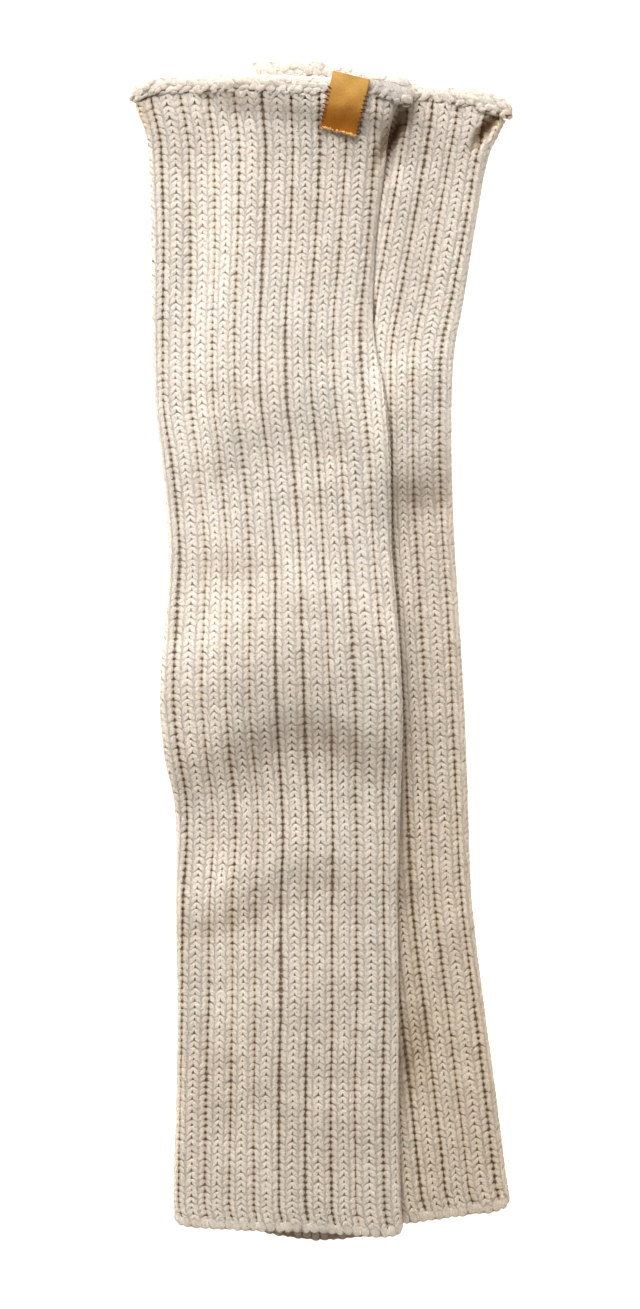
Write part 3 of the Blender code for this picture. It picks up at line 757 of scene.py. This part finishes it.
def hem_loops(name, cloth, material, shape, rng):
    """The cast-on edge: low, plump loops, three to a rib."""
    wales = (np.arange(RIBS_ROUND * HEM_LOOPS_A_RIB) / HEM_LOOPS_A_RIB)[:, None]
    size = 1 + uneven(rng, wales, HEM_SIZE_SPREAD)
    at_ribs = wales + shape.wide * HEM_LOOP_WIDE / 2 * size / RIB_PITCH
    rows = HEM_LOOP_ROW + uneven(rng, wales, HEM_PLACE_SPREAD)
    at_rows = rows + shape.long * HEM_LOOP_LONG / 2 / ROW_PITCH
    upper = facing_up(cloth, wales, np.full(wales.shape, HEM_LOOP_ROW))
    thickness = mix(HEM_LOOP_THICK_UNDER, HEM_LOOP_THICK, upper) / 2 * size
    out = shape.thick * thickness - mix(HEM_LOOP_DEPTH_UNDER, HEM_LOOP_DEPTH, upper)
    points = on_cloth(cloth, at_ribs, at_rows, out)
    # The lower loops get painted shade past the upper hem, the upper loops less
    depth = mix(BEHIND_HEM, -out - HEM_LOOP_PALER, upper)
    piece = lay_yarn(name, points, shape, depth, rng.random(wales.shape), material, crosswise=True)
    outer_half = np.where(upper > 0.5, 1.0, np.sign(shape.thick))
    facing = cloth_facing(cloth, at_ribs, np.maximum(at_rows, 0.0)) * outer_half[..., None]
    return soften(piece, facing, HEM_NAP)


# ---- the cloth under the stitches ----

def closed_grid(name, rings, depth, material):
    """A piece through rings of points, each of them closed, with the last one joined to the first."""
    count, columns = rings.shape[:2]
    ring, column = np.meshgrid(np.arange(count), np.arange(columns), indexing="ij")
    next_ring, next_column = (ring + 1) % count, (column + 1) % columns
    corners = [(ring, column), (ring, next_column), (next_ring, next_column), (next_ring, column)]
    faces = np.stack([a * columns + b for a, b in corners], axis=-1).reshape(-1, 4)
    mesh = bpy.data.meshes.new(name)
    mesh.from_pydata((rings * MM).reshape(-1, 3).tolist(), [], faces.tolist())
    give_values(mesh, "depth", depth)
    give_values(mesh, "tint", np.full(depth.shape, 0.5))
    return new_piece(name, mesh, material)


def knit_shell(leg, cloth, material):
    """The body of the cloth, which the stitches stand on and which shows darkly between them.

    It is a thin closed wall: rings up the outside, over the mouth, down the inside and back at the hem.
    """
    ribs = np.arange(RIBS_ROUND * SHELL_COLUMNS) / SHELL_COLUMNS
    rows = np.linspace(SHELL_START, cloth.rows, round(cloth.rows / 2))
    at_ribs, at_rows = np.meshgrid(ribs, rows)
    off = off_crest(at_ribs)
    rib_depth = mix(SHELL_DEPTH, GROOVE_SHELL_DEPTH, smoothstep(*GROOVE_SHELL_SLOPE, off))
    rib_depth += (PEAK_SHELL_DEPTH - SHELL_DEPTH) * smoothstep(PEAK_SPAN, 0.0, off)
    shade = HOLE_IN_SHADE * smoothstep(*HOLE_SHADED, off) + GROOVE_IN_SHADE * smoothstep(*GROOVE_SHADED, off)
    shade += hollow(cloth, at_ribs, at_rows)
    depth = mix(SHELL_DEPTH_UNDER, rib_depth, facing_up(cloth, at_ribs, at_rows))
    outside = on_cloth(cloth, at_ribs, at_rows, -depth)
    start, end = leg.sections[0].y, leg.sections[-1].y
    inside = inside_points(leg, share_at(cloth, at_ribs, at_rows), mix(start, end, at_rows / cloth.rows))
    inside_depth = mix(HEM_INSIDE_DEPTH, INSIDE_DEPTH, smoothstep(*HEM_INSIDE_ROWS, at_rows))
    rings = np.concatenate((outside, inside[::-1]))
    depths = np.concatenate((depth + shade, inside_depth[::-1]))
    return closed_grid(f"{leg.name}_cloth", rings, depths, material)


# ---- rolled edges ----

def roll_path(leg, share):
    """The middle line of a roll round a mouth, and the outward direction there."""
    mouth = Section(*(np.float64(value) for value in leg.sections[-1]))
    radius = (ROLL_HEIGHT - ROLL_THICK) / 2
    across, side, out_across = flat_loop(leg.roll.half, radius, share)
    x, y = place_on_leg(leg, mouth, across + leg.roll.shift, side, inwards=ROLL_THICK / 2)
    y = y + SEAM_GAP + ROLL_LENGTH / 2
    z = floor_of(leg, x, y) + ROLL_HEIGHT / 2 + side * radius
    return in_frame(x, y, z), out_across, side


def soft_field(heights, share, turn):
    """Heights of a coarse grid round the mouth and round the roll, joined by soft curves."""
    rows, columns = heights.shape
    row, column = share * rows, turn / (2 * math.pi) * columns
    low, left = np.floor(row).astype(int), np.floor(column).astype(int)
    up, across = smoothstep(0.0, 1.0, row - low), smoothstep(0.0, 1.0, column - left)
    low, left, high, right = low % rows, left % columns, (low + 1) % rows, (left + 1) % columns
    lower = mix(heights[low, left], heights[low, right], across)
    return mix(lower, mix(heights[high, left], heights[high, right], across), up)


def on_roll(roll, share, turn, out):
    """Points on a roll: share goes round the mouth, turn round the roll, from outwards over the far side."""
    middle, out_across, side = roll_path(roll.leg, share)
    _, swell, flap, crown = through(roll.leg.swell, share % 1.0)
    wider = 1 + np.where(np.sin(turn) < 0, flap, crown)
    calm = 1 - ROLL_CALM * np.clip(np.abs(flap) / CALM_FLAP, 0.0, 1.0)
    lumps = ROLL_LUMPS * soft_field(roll.lumps, share, turn)
    lumps = (lumps + ROLL_DENTS * soft_field(roll.dents, share, turn)) * calm
    out = mix(CALM_OUT, out, calm)
    flatness = np.where(np.sin(turn) < 0, ROLL_FLATNESS, 1.0)
    reach = np.sign(np.cos(turn)) * np.abs(np.cos(turn)) ** flatness * (ROLL_THICK / 2 * swell + out + lumps)
    along = np.sin(turn) * (ROLL_LENGTH / 2 * swell * wider + out + lumps)
    offset = np.stack((out_across * reach, along, side * reach), axis=-1)
    points = middle + offset
    points[..., 2] = np.maximum(points[..., 2], OFF_FLOOR)
    return points


def roll_facing(roll, share, turn):
    """Which way a roll's smooth surface faces, its nap brushed a little upwards."""
    _, out_across, side = roll_path(roll.leg, share)
    outwards, along = np.cos(turn) * ROLL_LENGTH, np.sin(turn) * ROLL_THICK
    steeper = ROLL_FLATNESS / np.sqrt(np.maximum(np.abs(np.cos(turn)), 0.1))
    along = along * np.where(along < 0, steeper, 1.0)
    facing = np.stack((out_across * outwards, along, side * outwards), axis=-1)
    facing[..., 2] += ROLL_NAP_UP * np.maximum(side, 0.0)
    return facing / np.linalg.norm(facing, axis=-1, keepdims=True)


def roll_body(roll, material):
    """The soft body of a roll; the side next to the ribs counts as deep and gets painted shade, where it
    shows between the knobs.
    """
    turns = 2 * math.pi * np.arange(ROLL_SIDES) / ROLL_SIDES
    share, turn = np.meshgrid(np.arange(ROLL_STATIONS) / ROLL_STATIONS, turns)
    points = on_roll(roll, share, turn, ROLL_BODY_OUT)
    depth = ROLL_DEPTH + ROLL_FOOT_DEPTH * smoothstep(*ROLL_FOOT, np.sin(turn))
    piece = closed_grid(f"{roll.leg.name}_roll", points, depth, material)
    return soften(piece, roll_facing(roll, share, turn), ROLL_NAP)


def roll_bumps(roll, rows, material, shape, rng):
    """The purl side of the plain knitting, turned outwards: low bars of yarn, plumper at the ribs."""
    wale, row = every(np.arange(ROLL_WALES), np.arange(len(rows)))
    kind = RollRow(*np.array(rows)[row].transpose(2, 0, 1))
    off_place, off_turn, _, off_height, off_slant, off_size = rng.standard_normal((6, *wale.shape))
    slant = np.radians(kind.slant * (1 + SLANT_SPREAD * off_slant))
    size = 1 + BAR_SPREAD * off_size
    along = shape.long * kind.long / 2 * size
    over = shape.wide * kind.wide / 2 * size
    shift = along * np.cos(slant) - over * np.sin(slant)
    rise = along * np.sin(slant) + over * np.cos(slant)
    share = (wale + 0.5 * (row % 2) + WALE_SPREAD * off_place) / ROLL_WALES + shift / ROLL_ROUND
    turn = np.radians(kind.turn + TURN_SPREAD * off_turn) + rise / ROLL_GIRTH * 2 * math.pi
    out = shape.thick * kind.thick / 2 * size + kind.out + OUT_SPREAD * off_height
    points, tints = on_roll(roll, share, turn, out), rng.random(wale.shape)
    piece = lay_yarn(f"{roll.leg.name}_roll_stitches", points, shape, ROLL_BAR_DEPTH - out, tints, material)
    return soften(piece, roll_facing(roll, share, turn), ROLL_BAR_NAP)


# ---- label ----

LABEL_WIDTH = 19.0
LABEL_LENGTH = 28.5
LABEL_THICK = 1.3
LABEL_CENTRE = (11.2, 273.7)
LABEL_TURN = -13.7
LABEL_BEND_START, LABEL_BEND_END = 10.0, 0.5
LABEL_GAP = 0.35
LABEL_COLUMNS, LABEL_ROWS = 24, 36
SIDE_STITCHES, SIDE_STITCH_PITCH = 10, 2.1  # from the label's foot up both sides
FOOT_STITCHES = 30
SIDE_STITCH_LONG, SIDE_STITCH_SLANT = 2.7, 15.0
FOOT_STITCH_LONG, FOOT_STITCH_SPREAD = 1.3, 0.9
SIDE_SPREAD, SIDE_TURN_SPREAD, FOOT_SPREAD, FOOT_TURN_SPREAD = 0.15, 8.0, 0.3, 38.0
THREAD = 1.0
THREAD_GAP, THREAD_DIP, THREAD_DIPS = 0.1, 1.5, (-0.1, 1.2)  # over the leather, and past its edge
LABEL_WAVES = 0.16, 0.12
LABEL_PULL, LABEL_PULLED = 0.012, (0.15, -0.1)  # by a stitch, and from where on its length down
LABEL_BEVEL = 0.35


def label_height(x, y):
    """The surface that the label lies on: the ribs, then the top of the roll."""
    mouth = LEFT_SECTIONS[-1]
    section = through(LEFT_SECTIONS, y)
    across = (x - section.x) / section.half
    seam = mouth.y + through(LEFT_MOUTH, (x - mouth.x - LEFT_ROLL.shift) / LEFT_ROLL.half).out
    ribs = FLAT_HEIGHT + section.puff * bulge(across) + climb_height(LEFT_LEG, x, y)
    on_leg = mix(ribs, ROLL_HEIGHT, smoothstep(seam - LABEL_BEND_START, seam - LABEL_BEND_END, y))
    return rest_height(x, np.minimum(y, mouth.y)) + section.lift + on_leg + LABEL_GAP


def on_label(across, along, out):
    """Points on the label's lower side or over it, for places in mm from its middle."""
    turn = math.radians(LABEL_TURN)
    x = LABEL_CENTRE[0] + across * math.cos(turn) - along * math.sin(turn)
    y = LABEL_CENTRE[1] + across * math.sin(turn) + along * math.cos(turn)
    high, low = LABEL_WAVES
    wave = high * np.sin(0.42 * along + 0.25 * across) + low * np.sin(0.5 * across - 0.3 * along + 1.0)
    return in_frame(x, y, label_height(x, y) + wave + out)


def make_label(material):
    """The leather patch, its sides drawn in a little by each stitch."""
    maker = bmesh.new()
    bmesh.ops.create_grid(maker, x_segments=LABEL_COLUMNS, y_segments=LABEL_ROWS, size=0.5)
    layers = [maker.verts.layers.float.new(name) for name in ("across", "along")]
    flat = np.array([corner.co[:2] for corner in maker.verts])
    pulled = LABEL_PULL * np.cos(2 * math.pi * (flat[:, 1] + 0.5) * LABEL_LENGTH / SIDE_STITCH_PITCH)
    pulled = 1 - pulled * smoothstep(*LABEL_PULLED, flat[:, 1]) * np.abs(flat[:, 0]) * 2
    places = on_label(flat[:, 0] * LABEL_WIDTH * pulled, flat[:, 1] * LABEL_LENGTH, 0.0)
    for corner, place, share in zip(maker.verts, places, flat):
        corner.co = Vector(place) * MM
        corner[layers[0]], corner[layers[1]] = share
    above = bmesh.ops.extrude_face_region(maker, geom=maker.faces[:])["geom"]
    for corner in above:
        if isinstance(corner, bmesh.types.BMVert):
            corner.co.z += LABEL_THICK * MM
    bmesh.ops.recalc_face_normals(maker, faces=maker.faces)
    name = "leather_label_patch"
    piece = new_piece(name, mesh_from(maker, name), material)
    bevel = piece.modifiers.new("soft cut edge", "BEVEL")
    bevel.width = LABEL_BEVEL * MM
    bevel.segments = 2
    bevel.limit_method = "ANGLE"
    return piece


def label_threads(name, across, along, slant, long, material, shape):
    """Short stitches of thread over the label's edge, which dip into the knitting past it."""
    turn = np.radians(slant)[:, None]
    run, side = shape.long * long[:, None] / 2, shape.wide * THREAD / 2
    x = across[:, None] + run * np.cos(turn) - side * np.sin(turn)
    y = along[:, None] + run * np.sin(turn) + side * np.cos(turn)
    past = np.maximum(np.abs(x) - LABEL_WIDTH / 2, -LABEL_LENGTH / 2 - y)
    out = LABEL_THICK + THREAD_GAP + shape.thick * THREAD / 2 - THREAD_DIP * smoothstep(*THREAD_DIPS, past)
    tints = (0.5 + 0.5 * np.sin(37.0 * along))[:, None]
    return lay_yarn(name, on_label(x, y, out), shape, 0 * out, tints, material)


def sew_label(brown, gold, shape, rng):
    """Whipped brown stitches up both sides, and golden ones along the foot that have begun to fray."""
    up = -LABEL_LENGTH / 2 + SIDE_STITCH_PITCH * (np.arange(SIDE_STITCHES) + 0.5)
    across = np.repeat((-LABEL_WIDTH / 2, LABEL_WIDTH / 2), SIDE_STITCHES)
    along = np.tile(up, 2) + uneven(rng, across, SIDE_SPREAD)
    slant = SIDE_STITCH_SLANT * np.sign(across) + uneven(rng, across, SIDE_TURN_SPREAD)
    long = np.full(len(across), SIDE_STITCH_LONG)
    sides = label_threads("label_side_stitches", across, along, slant, long, brown, shape)
    place = LABEL_WIDTH * (np.arange(FOOT_STITCHES) + 0.5) / FOOT_STITCHES - LABEL_WIDTH / 2
    foot = uneven(rng, place, FOOT_SPREAD) - LABEL_LENGTH / 2
    slant = 90.0 + uneven(rng, place, FOOT_TURN_SPREAD)
    long = FOOT_STITCH_LONG + FOOT_STITCH_SPREAD * rng.random(FOOT_STITCHES)
    return [sides, label_threads("label_foot_stitches", place, foot, slant, long, gold, shape)]


# ---- materials ----

def new_material(name):
    material = bpy.data.materials.new(name)
    material.use_nodes = True
    return material, material.node_tree, material.node_tree.nodes["Principled BSDF"]


def set_inputs(tree, node, values):
    """Give a node's inputs values or links, by name or by number after a line, as in _0."""
    for name, value in values.items():
        socket = node.inputs[int(name[1:])] if name[1:].isdigit() else node.inputs[name.replace("_", " ")]
        if isinstance(value, bpy.types.NodeSocket):
            tree.links.new(value, socket)
        else:
            socket.default_value = value


def add_node(tree, kind, settings=None, **values):
    node = tree.nodes.new(kind)
    for name, value in (settings or {}).items():
        setattr(node, name, value)
    set_inputs(tree, node, values)
    return node


def math_node(tree, operation, first, second, third=0.0):
    node = add_node(tree, "ShaderNodeMath", {"operation": operation}, _0=first, _1=second, _2=third)
    return node.outputs[0]


def vector_math(tree, operation, first, second):
    return add_node(tree, "ShaderNodeVectorMath", {"operation": operation}, _0=first, _1=second).outputs


def map_range(tree, value, low, high, to_low=0.0, to_high=1.0, curve="LINEAR"):
    ends = {"From_Min": low, "From_Max": high, "To_Min": to_low, "To_Max": to_high}
    return add_node(tree, "ShaderNodeMapRange", {"interpolation_type": curve}, Value=value, **ends).outputs[0]


def attribute(tree, name):
    return add_node(tree, "ShaderNodeAttribute", {"attribute_name": name}).outputs


def noise(tree, place, scale, detail):
    return add_node(tree, "ShaderNodeTexNoise", Vector=place, Scale=scale, Detail=detail).outputs["Fac"]


def plies(tree, scale, distortion=0.0):
    """The twist of two plies along the yarn."""
    values = {"Vector": attribute(tree, "yarn")["Vector"], "Scale": scale, "Distortion": distortion}
    return add_node(tree, "ShaderNodeTexWave", {"bands_direction": "DIAGONAL"}, **values).outputs["Fac"]


def blend_colour(tree, share, first, second, kind="MIX"):
    settings = {"data_type": "RGBA", "blend_type": kind}
    return add_node(tree, "ShaderNodeMix", settings, _0=share, _6=first, _7=second).outputs[2]


def tinted(tree, colour, share, tint):
    return blend_colour(tree, share, colour, (*tint, 1), "MULTIPLY")


def bump(tree, height, strength, distance):
    node = add_node(tree, "ShaderNodeBump", Height=height, Strength=strength, Distance=distance * MM)
    return node.outputs["Normal"]


AMBER_SHADE_CORNERS = ((-92.6, 268.0, 3.0), (93.5, 264.0, 3.0))  # where the wool gets a painted amber shade


def wool_group():
    """Heather wool: flecked fibres, uneven colour, painted shade in hollows, at the mouth and by the hem, and
    the twist of the plies.
    """
    group = bpy.data.node_groups.new("heather wool", "ShaderNodeTree")
    for name in ("Light", "Dark", "Shade", "Hem Cast"):
        group.interface.new_socket(name, in_out="INPUT", socket_type="NodeSocketColor")
    group.interface.new_socket("Cast Curve", in_out="INPUT", socket_type="NodeSocketFloat")
    group.interface.new_socket("Colour", in_out="OUTPUT", socket_type="NodeSocketColor")
    group.interface.new_socket("Height", in_out="OUTPUT", socket_type="NodeSocketFloat")
    given = group.nodes.new("NodeGroupInput").outputs
    place = add_node(group, "ShaderNodeTexCoord").outputs["Object"]
    depth = attribute(group, "depth")["Fac"]
    # Heather of light and dark fibres, with patches that are warmer
    flecks = math_node(group, "MULTIPLY_ADD", noise(group, place, 780.0, 5.0), 1.5, -0.25)
    patches = math_node(group, "MULTIPLY_ADD", noise(group, place, 95.0, 2.0), 0.5, flecks)
    heather = math_node(group, "MULTIPLY_ADD", attribute(group, "tint")["Fac"], 0.28, patches)
    colour = blend_colour(group, map_range(group, heather, 0.62, 1.22), given["Dark"], given["Light"])
    warmth = map_range(group, noise(group, place, 38.0, 1.0), 0.35, 0.65)
    colour = tinted(group, colour, warmth, (0.985, 1.0, 1.015))
    # Along the leg: painted warm shade towards the hem, painted shade near the mouth, and wide clouds of
    # darker colour, more of them towards the hem
    along = add_node(group, "ShaderNodeSeparateXYZ", Vector=place).outputs["Y"]
    uneven_along = math_node(group, "MULTIPLY_ADD", noise(group, place, 22.0, 2.0), 0.16, along)
    low = map_range(group, uneven_along, 0.2, -0.12)
    # Painted warm shade, darker and yellower towards the hem
    cast = math_node(group, "POWER", low, given["Cast Curve"])
    colour = blend_colour(group, cast, colour, given["Hem Cast"], "MULTIPLY")
    # Painted shade near the mouth
    near_mouth = map_range(group, uneven_along, 0.25, 0.37)
    colour = tinted(group, colour, near_mouth, (0.9, 0.885, 0.87))
    wide = vector_math(group, "MULTIPLY", place, (0.55, 1.5, 1.0))[0]
    clouds = map_range(group, noise(group, wide, 42.0, 3.0), 0.44, 0.66)
    cloudy = math_node(group, "MULTIPLY", clouds, math_node(group, "MULTIPLY_ADD", low, 0.6, 0.4))
    colour = tinted(group, colour, cloudy, (0.9, 0.893, 0.88))
    # Painted warm amber shade round the mouth's two corners
    for corner in AMBER_SHADE_CORNERS:
        away = vector_math(group, "DISTANCE", place, Vector(corner) * MM)["Value"]
        colour = tinted(group, colour, map_range(group, away, 0.012, 0.003), (0.94, 0.83, 0.67))
    brown = map_range(group, noise(group, place, 1300.0, 1.0), 0.62, 0.78)
    colour = tinted(group, colour, brown, (0.62, 0.52, 0.42))
    # Painted shade down the sides of a yarn and between the yarns, and painted shadow in the pits under a
    # fold
    side = map_range(group, depth, 0.25, 1.0, curve="SMOOTHSTEP")
    colour = tinted(group, colour, side, (0.89, 0.865, 0.83))
    sunk = map_range(group, depth, 0.75, 2.5, curve="SMOOTHSTEP")
    # The painted shade between the yarns is lighter over the leg's upper half, short of the mouth
    clear = math_node(group, "SUBTRACT", map_range(group, uneven_along, 0.02, 0.1), near_mouth)
    paler = math_node(group, "MULTIPLY_ADD", math_node(group, "MAXIMUM", clear, 0.0), -0.3, 1.0)
    dimness = math_node(group, "MULTIPLY", sunk, paler)
    colour = blend_colour(group, dimness, colour, given["Shade"], "MULTIPLY")
    pit = map_range(group, depth, 2.9, 4.6, curve="SMOOTHSTEP")
    colour = tinted(group, colour, pit, (0.36, 0.25, 0.16))
    fibres = noise(group, place, 2600.0, 3.0)
    height = math_node(group, "MULTIPLY_ADD", plies(group, 2.0, 1.5), 0.5, fibres)
    set_inputs(group, group.nodes.new("NodeGroupOutput"), {"Colour": colour, "Height": height})
    return group


def wool_material(name, wool, light, dark, shade, hem_cast, cast_curve):
    material, tree, surface = new_material(name)
    colours = {"Light": (*light, 1), "Dark": (*dark, 1), "Shade": (*shade, 1), "Hem_Cast": (*hem_cast, 1)}
    heather = add_node(tree, "ShaderNodeGroup", {"node_tree": wool}, Cast_Curve=cast_curve, **colours).outputs
    surface.subsurface_method = "BURLEY"
    set_inputs(tree, surface, {
        "Base Color": heather["Colour"],
        "Normal": bump(tree, heather["Height"], 0.5, 0.15),
        "Roughness": 0.9,
        "Specular IOR Level": 0.2,
        "Sheen Weight": 0.15,
        "Subsurface Weight": 1.0,
        "Subsurface Radius": (1.0, 0.9, 0.8),
        "Subsurface Scale": 0.0022,
    })
    return material


def leather_material():
    """Tan leather with painted light, paler where it bends over the roll and darker at its foot, rubbed
    darker along its cut edges, with fine pores.
    """
    material, tree, surface = new_material("tan label leather")
    place = add_node(tree, "ShaderNodeTexCoord").outputs["Object"]
    along, across = (attribute(tree, name)["Fac"] for name in ("along", "across"))
    blotches = noise(tree, place, 210.0, 4.0)
    # Painted light: paler towards the top, where the label bends over the roll, with blotches of uneven tone
    # mixed in
    height = map_range(tree, math_node(tree, "MULTIPLY_ADD", blotches, 0.35, along), -0.12, 0.66)
    colour = blend_colour(tree, height, (0.345, 0.118, 0.006, 1), (0.575, 0.33, 0.082, 1))
    grain = noise(tree, place, 1500.0, 4.0)
    colour = tinted(tree, colour, map_range(tree, grain, 0.45, 0.75), (0.82, 0.76, 0.68))
    off_side, off_end = (math_node(tree, "ABSOLUTE", share, 0.0) for share in (across, along))
    rim = math_node(tree, "MULTIPLY_ADD", blotches, 0.03, math_node(tree, "MAXIMUM", off_side, off_end))
    colour = tinted(tree, colour, map_range(tree, rim, 0.475, 0.52), (0.66, 0.56, 0.46))
    pores = add_node(tree, "ShaderNodeTexVoronoi", Vector=place, Scale=1500.0).outputs["Distance"]
    relief = math_node(tree, "MULTIPLY_ADD", grain, 0.6, pores)
    set_inputs(tree, surface, {
        "Base Color": colour,
        "Normal": bump(tree, relief, 0.35, 0.12),
        "Roughness": map_range(tree, blotches, 0.3, 0.7, 0.4, 0.56),
        "Specular IOR Level": 0.22,
    })
    return material


def thread_material(name, light, dark):
    """Waxed sewing thread: two plies that change from light to dark."""
    material, tree, surface = new_material(name)
    twist = plies(tree, 2.5)
    light_ply = math_node(tree, "MULTIPLY", twist, 0.4)
    share = math_node(tree, "MULTIPLY_ADD", attribute(tree, "tint")["Fac"], 0.6, light_ply)
    colour = blend_colour(tree, share, (*dark, 1), (*light, 1))
    set_inputs(tree, surface, {
        "Base Color": colour,
        "Normal": bump(tree, twist, 0.5, 0.1),
        "Roughness": 0.55,
    })
    return material


# ---- stage ----

VIEW_MIDDLE = Vector((-1.11, -0.8, 8.0)) * MM
VIEW_HEIGHT = 654.5 * MM
LENS, SENSOR = 100.0, 36.0
FLOOR_HALF = 20.0
WINDOW_PLACE = Vector((-0.62, 1.95, 0.95))
WINDOW_SIZE, WINDOW_POWER, WINDOW_COLOUR = 1.7, 99.0, (0.98, 0.99, 1.0)
SKY_STRENGTH, SKY_COLOUR = 0.45, (1.0, 0.935, 0.855)


def make_floor():
    maker = bmesh.new()
    bmesh.ops.create_grid(maker, x_segments=1, y_segments=1, size=FLOOR_HALF)
    floor = new_object("pale_floor", mesh_from(maker, "pale_floor"))
    material, tree, surface = new_material("pale floor")
    set_inputs(tree, surface, {
        "Base Color": (0.93, 0.93, 0.93, 1),
        "Roughness": 0.95,
        "Specular IOR Level": 0.0,
        "Emission Color": (1, 1, 1, 1),
        "Emission Strength": 0.9,
    })
    floor.data.materials.append(material)


def make_camera():
    lens = bpy.data.cameras.new("camera")
    lens.lens = LENS
    lens.sensor_width = SENSOR
    camera = new_object("camera", lens)
    camera.location = VIEW_MIDDLE + Vector((0, 0, VIEW_HEIGHT * LENS / SENSOR))
    bpy.context.scene.camera = camera


def make_lights():
    world = bpy.data.worlds.new("soft studio")
    bpy.context.scene.world = world
    world.use_nodes = True
    sky = world.node_tree.nodes["Background"]
    set_inputs(world.node_tree, sky, {"Color": (*SKY_COLOUR, 1), "Strength": SKY_STRENGTH})
    lamp = bpy.data.lights.new("window light", "AREA")
    lamp.energy = WINDOW_POWER
    lamp.size = WINDOW_SIZE
    lamp.color = WINDOW_COLOUR
    window = new_object("window light", lamp)
    window.location = WINDOW_PLACE
    window.rotation_mode = "QUATERNION"
    window.rotation_quaternion = WINDOW_PLACE.to_track_quat("Z", "Y")


# ---- the pair ----

def build_leg(leg, fine_ribs, plain_ribs, materials, rng):
    """A leg's cloth and what lies on it: fine stitches on the ribs that show, plain ones on the others."""
    knit, soft = materials
    cloth = lay_cloth(leg)
    shell = knit_shell(leg, cloth, knit)
    fine, plain = bead(6, 3, PLUMPNESS), bead(4, 2)
    parts = []
    for name, ribs in fine_ribs.items():
        parts.append(knit_stitches(f"{leg.name}_{name}", cloth, ribs, knit, fine, rng))
    parts.append(knit_stitches(f"{leg.name}_stitches_under", cloth, plain_ribs, knit, plain, rng))
    parts.append(groove_loops(f"{leg.name}_groove_loops", cloth, range(-1, HALF_ROUND + 1), knit, plain, rng))
    parts.append(hem_loops(f"{leg.name}_hem_loops", cloth, knit, bead(10, 6), rng))
    edge = Roll(leg, rng.standard_normal(LUMP_GRID), rng.standard_normal(DENT_GRID))
    roll = roll_body(edge, soft)
    bumps = roll_bumps(edge, ROLL_ROWS, soft, bead(8, 5), rng)
    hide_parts(f"{leg.name}_tube")
    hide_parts(f"{leg.name.split('_')[0]}_rolled_edge")
    return shell, [*parts, roll, bumps]


def leg_wools(kind, wool, *look):
    """The wool of a leg's ribs and that of its roll, which look the same."""
    return [wool_material(f"{kind} wool {place}", wool, *look) for place in ("rib knit", "rolled edge")]


def build_pair():
    rng = np.random.default_rng(SEED)
    wool, shade = wool_group(), (0.48, 0.39, 0.3)
    left_wools = leg_wools(
        "oatmeal", wool, (0.737, 0.673, 0.603), (0.632, 0.569, 0.503), shade, (0.985, 0.965, 0.92), 1.0
    )
    right_wools = leg_wools(
        "warmer oatmeal", wool, (0.742, 0.676, 0.605), (0.632, 0.566, 0.494), shade, (0.94, 0.89, 0.8), 0.5
    )
    left_fine = {"stitches_outer": range(0, 5), "stitches_inner": range(5, 11)}
    right_fine, right_plain = {"stitches_shown": range(4, 10)}, [*range(0, 4), *range(10, 18)]
    left, left_parts = build_leg(LEFT_LEG, left_fine, range(11, 18), left_wools, rng)
    right, right_parts = build_leg(RIGHT_LEG, right_fine, right_plain, right_wools, rng)
    label = make_label(leather_material())
    brown = thread_material("brown waxed thread", (0.2, 0.08, 0.03), (0.06, 0.025, 0.012))
    gold = thread_material("golden thread", (0.9, 0.6, 0.22), (0.4, 0.15, 0.03))
    threads = sew_label(brown, gold, bead(6, 4), rng)
    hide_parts("leather_label")


bpy.context.scene.view_settings.view_transform = "Standard"
make_floor()
make_camera()
make_lights()
build_pair()
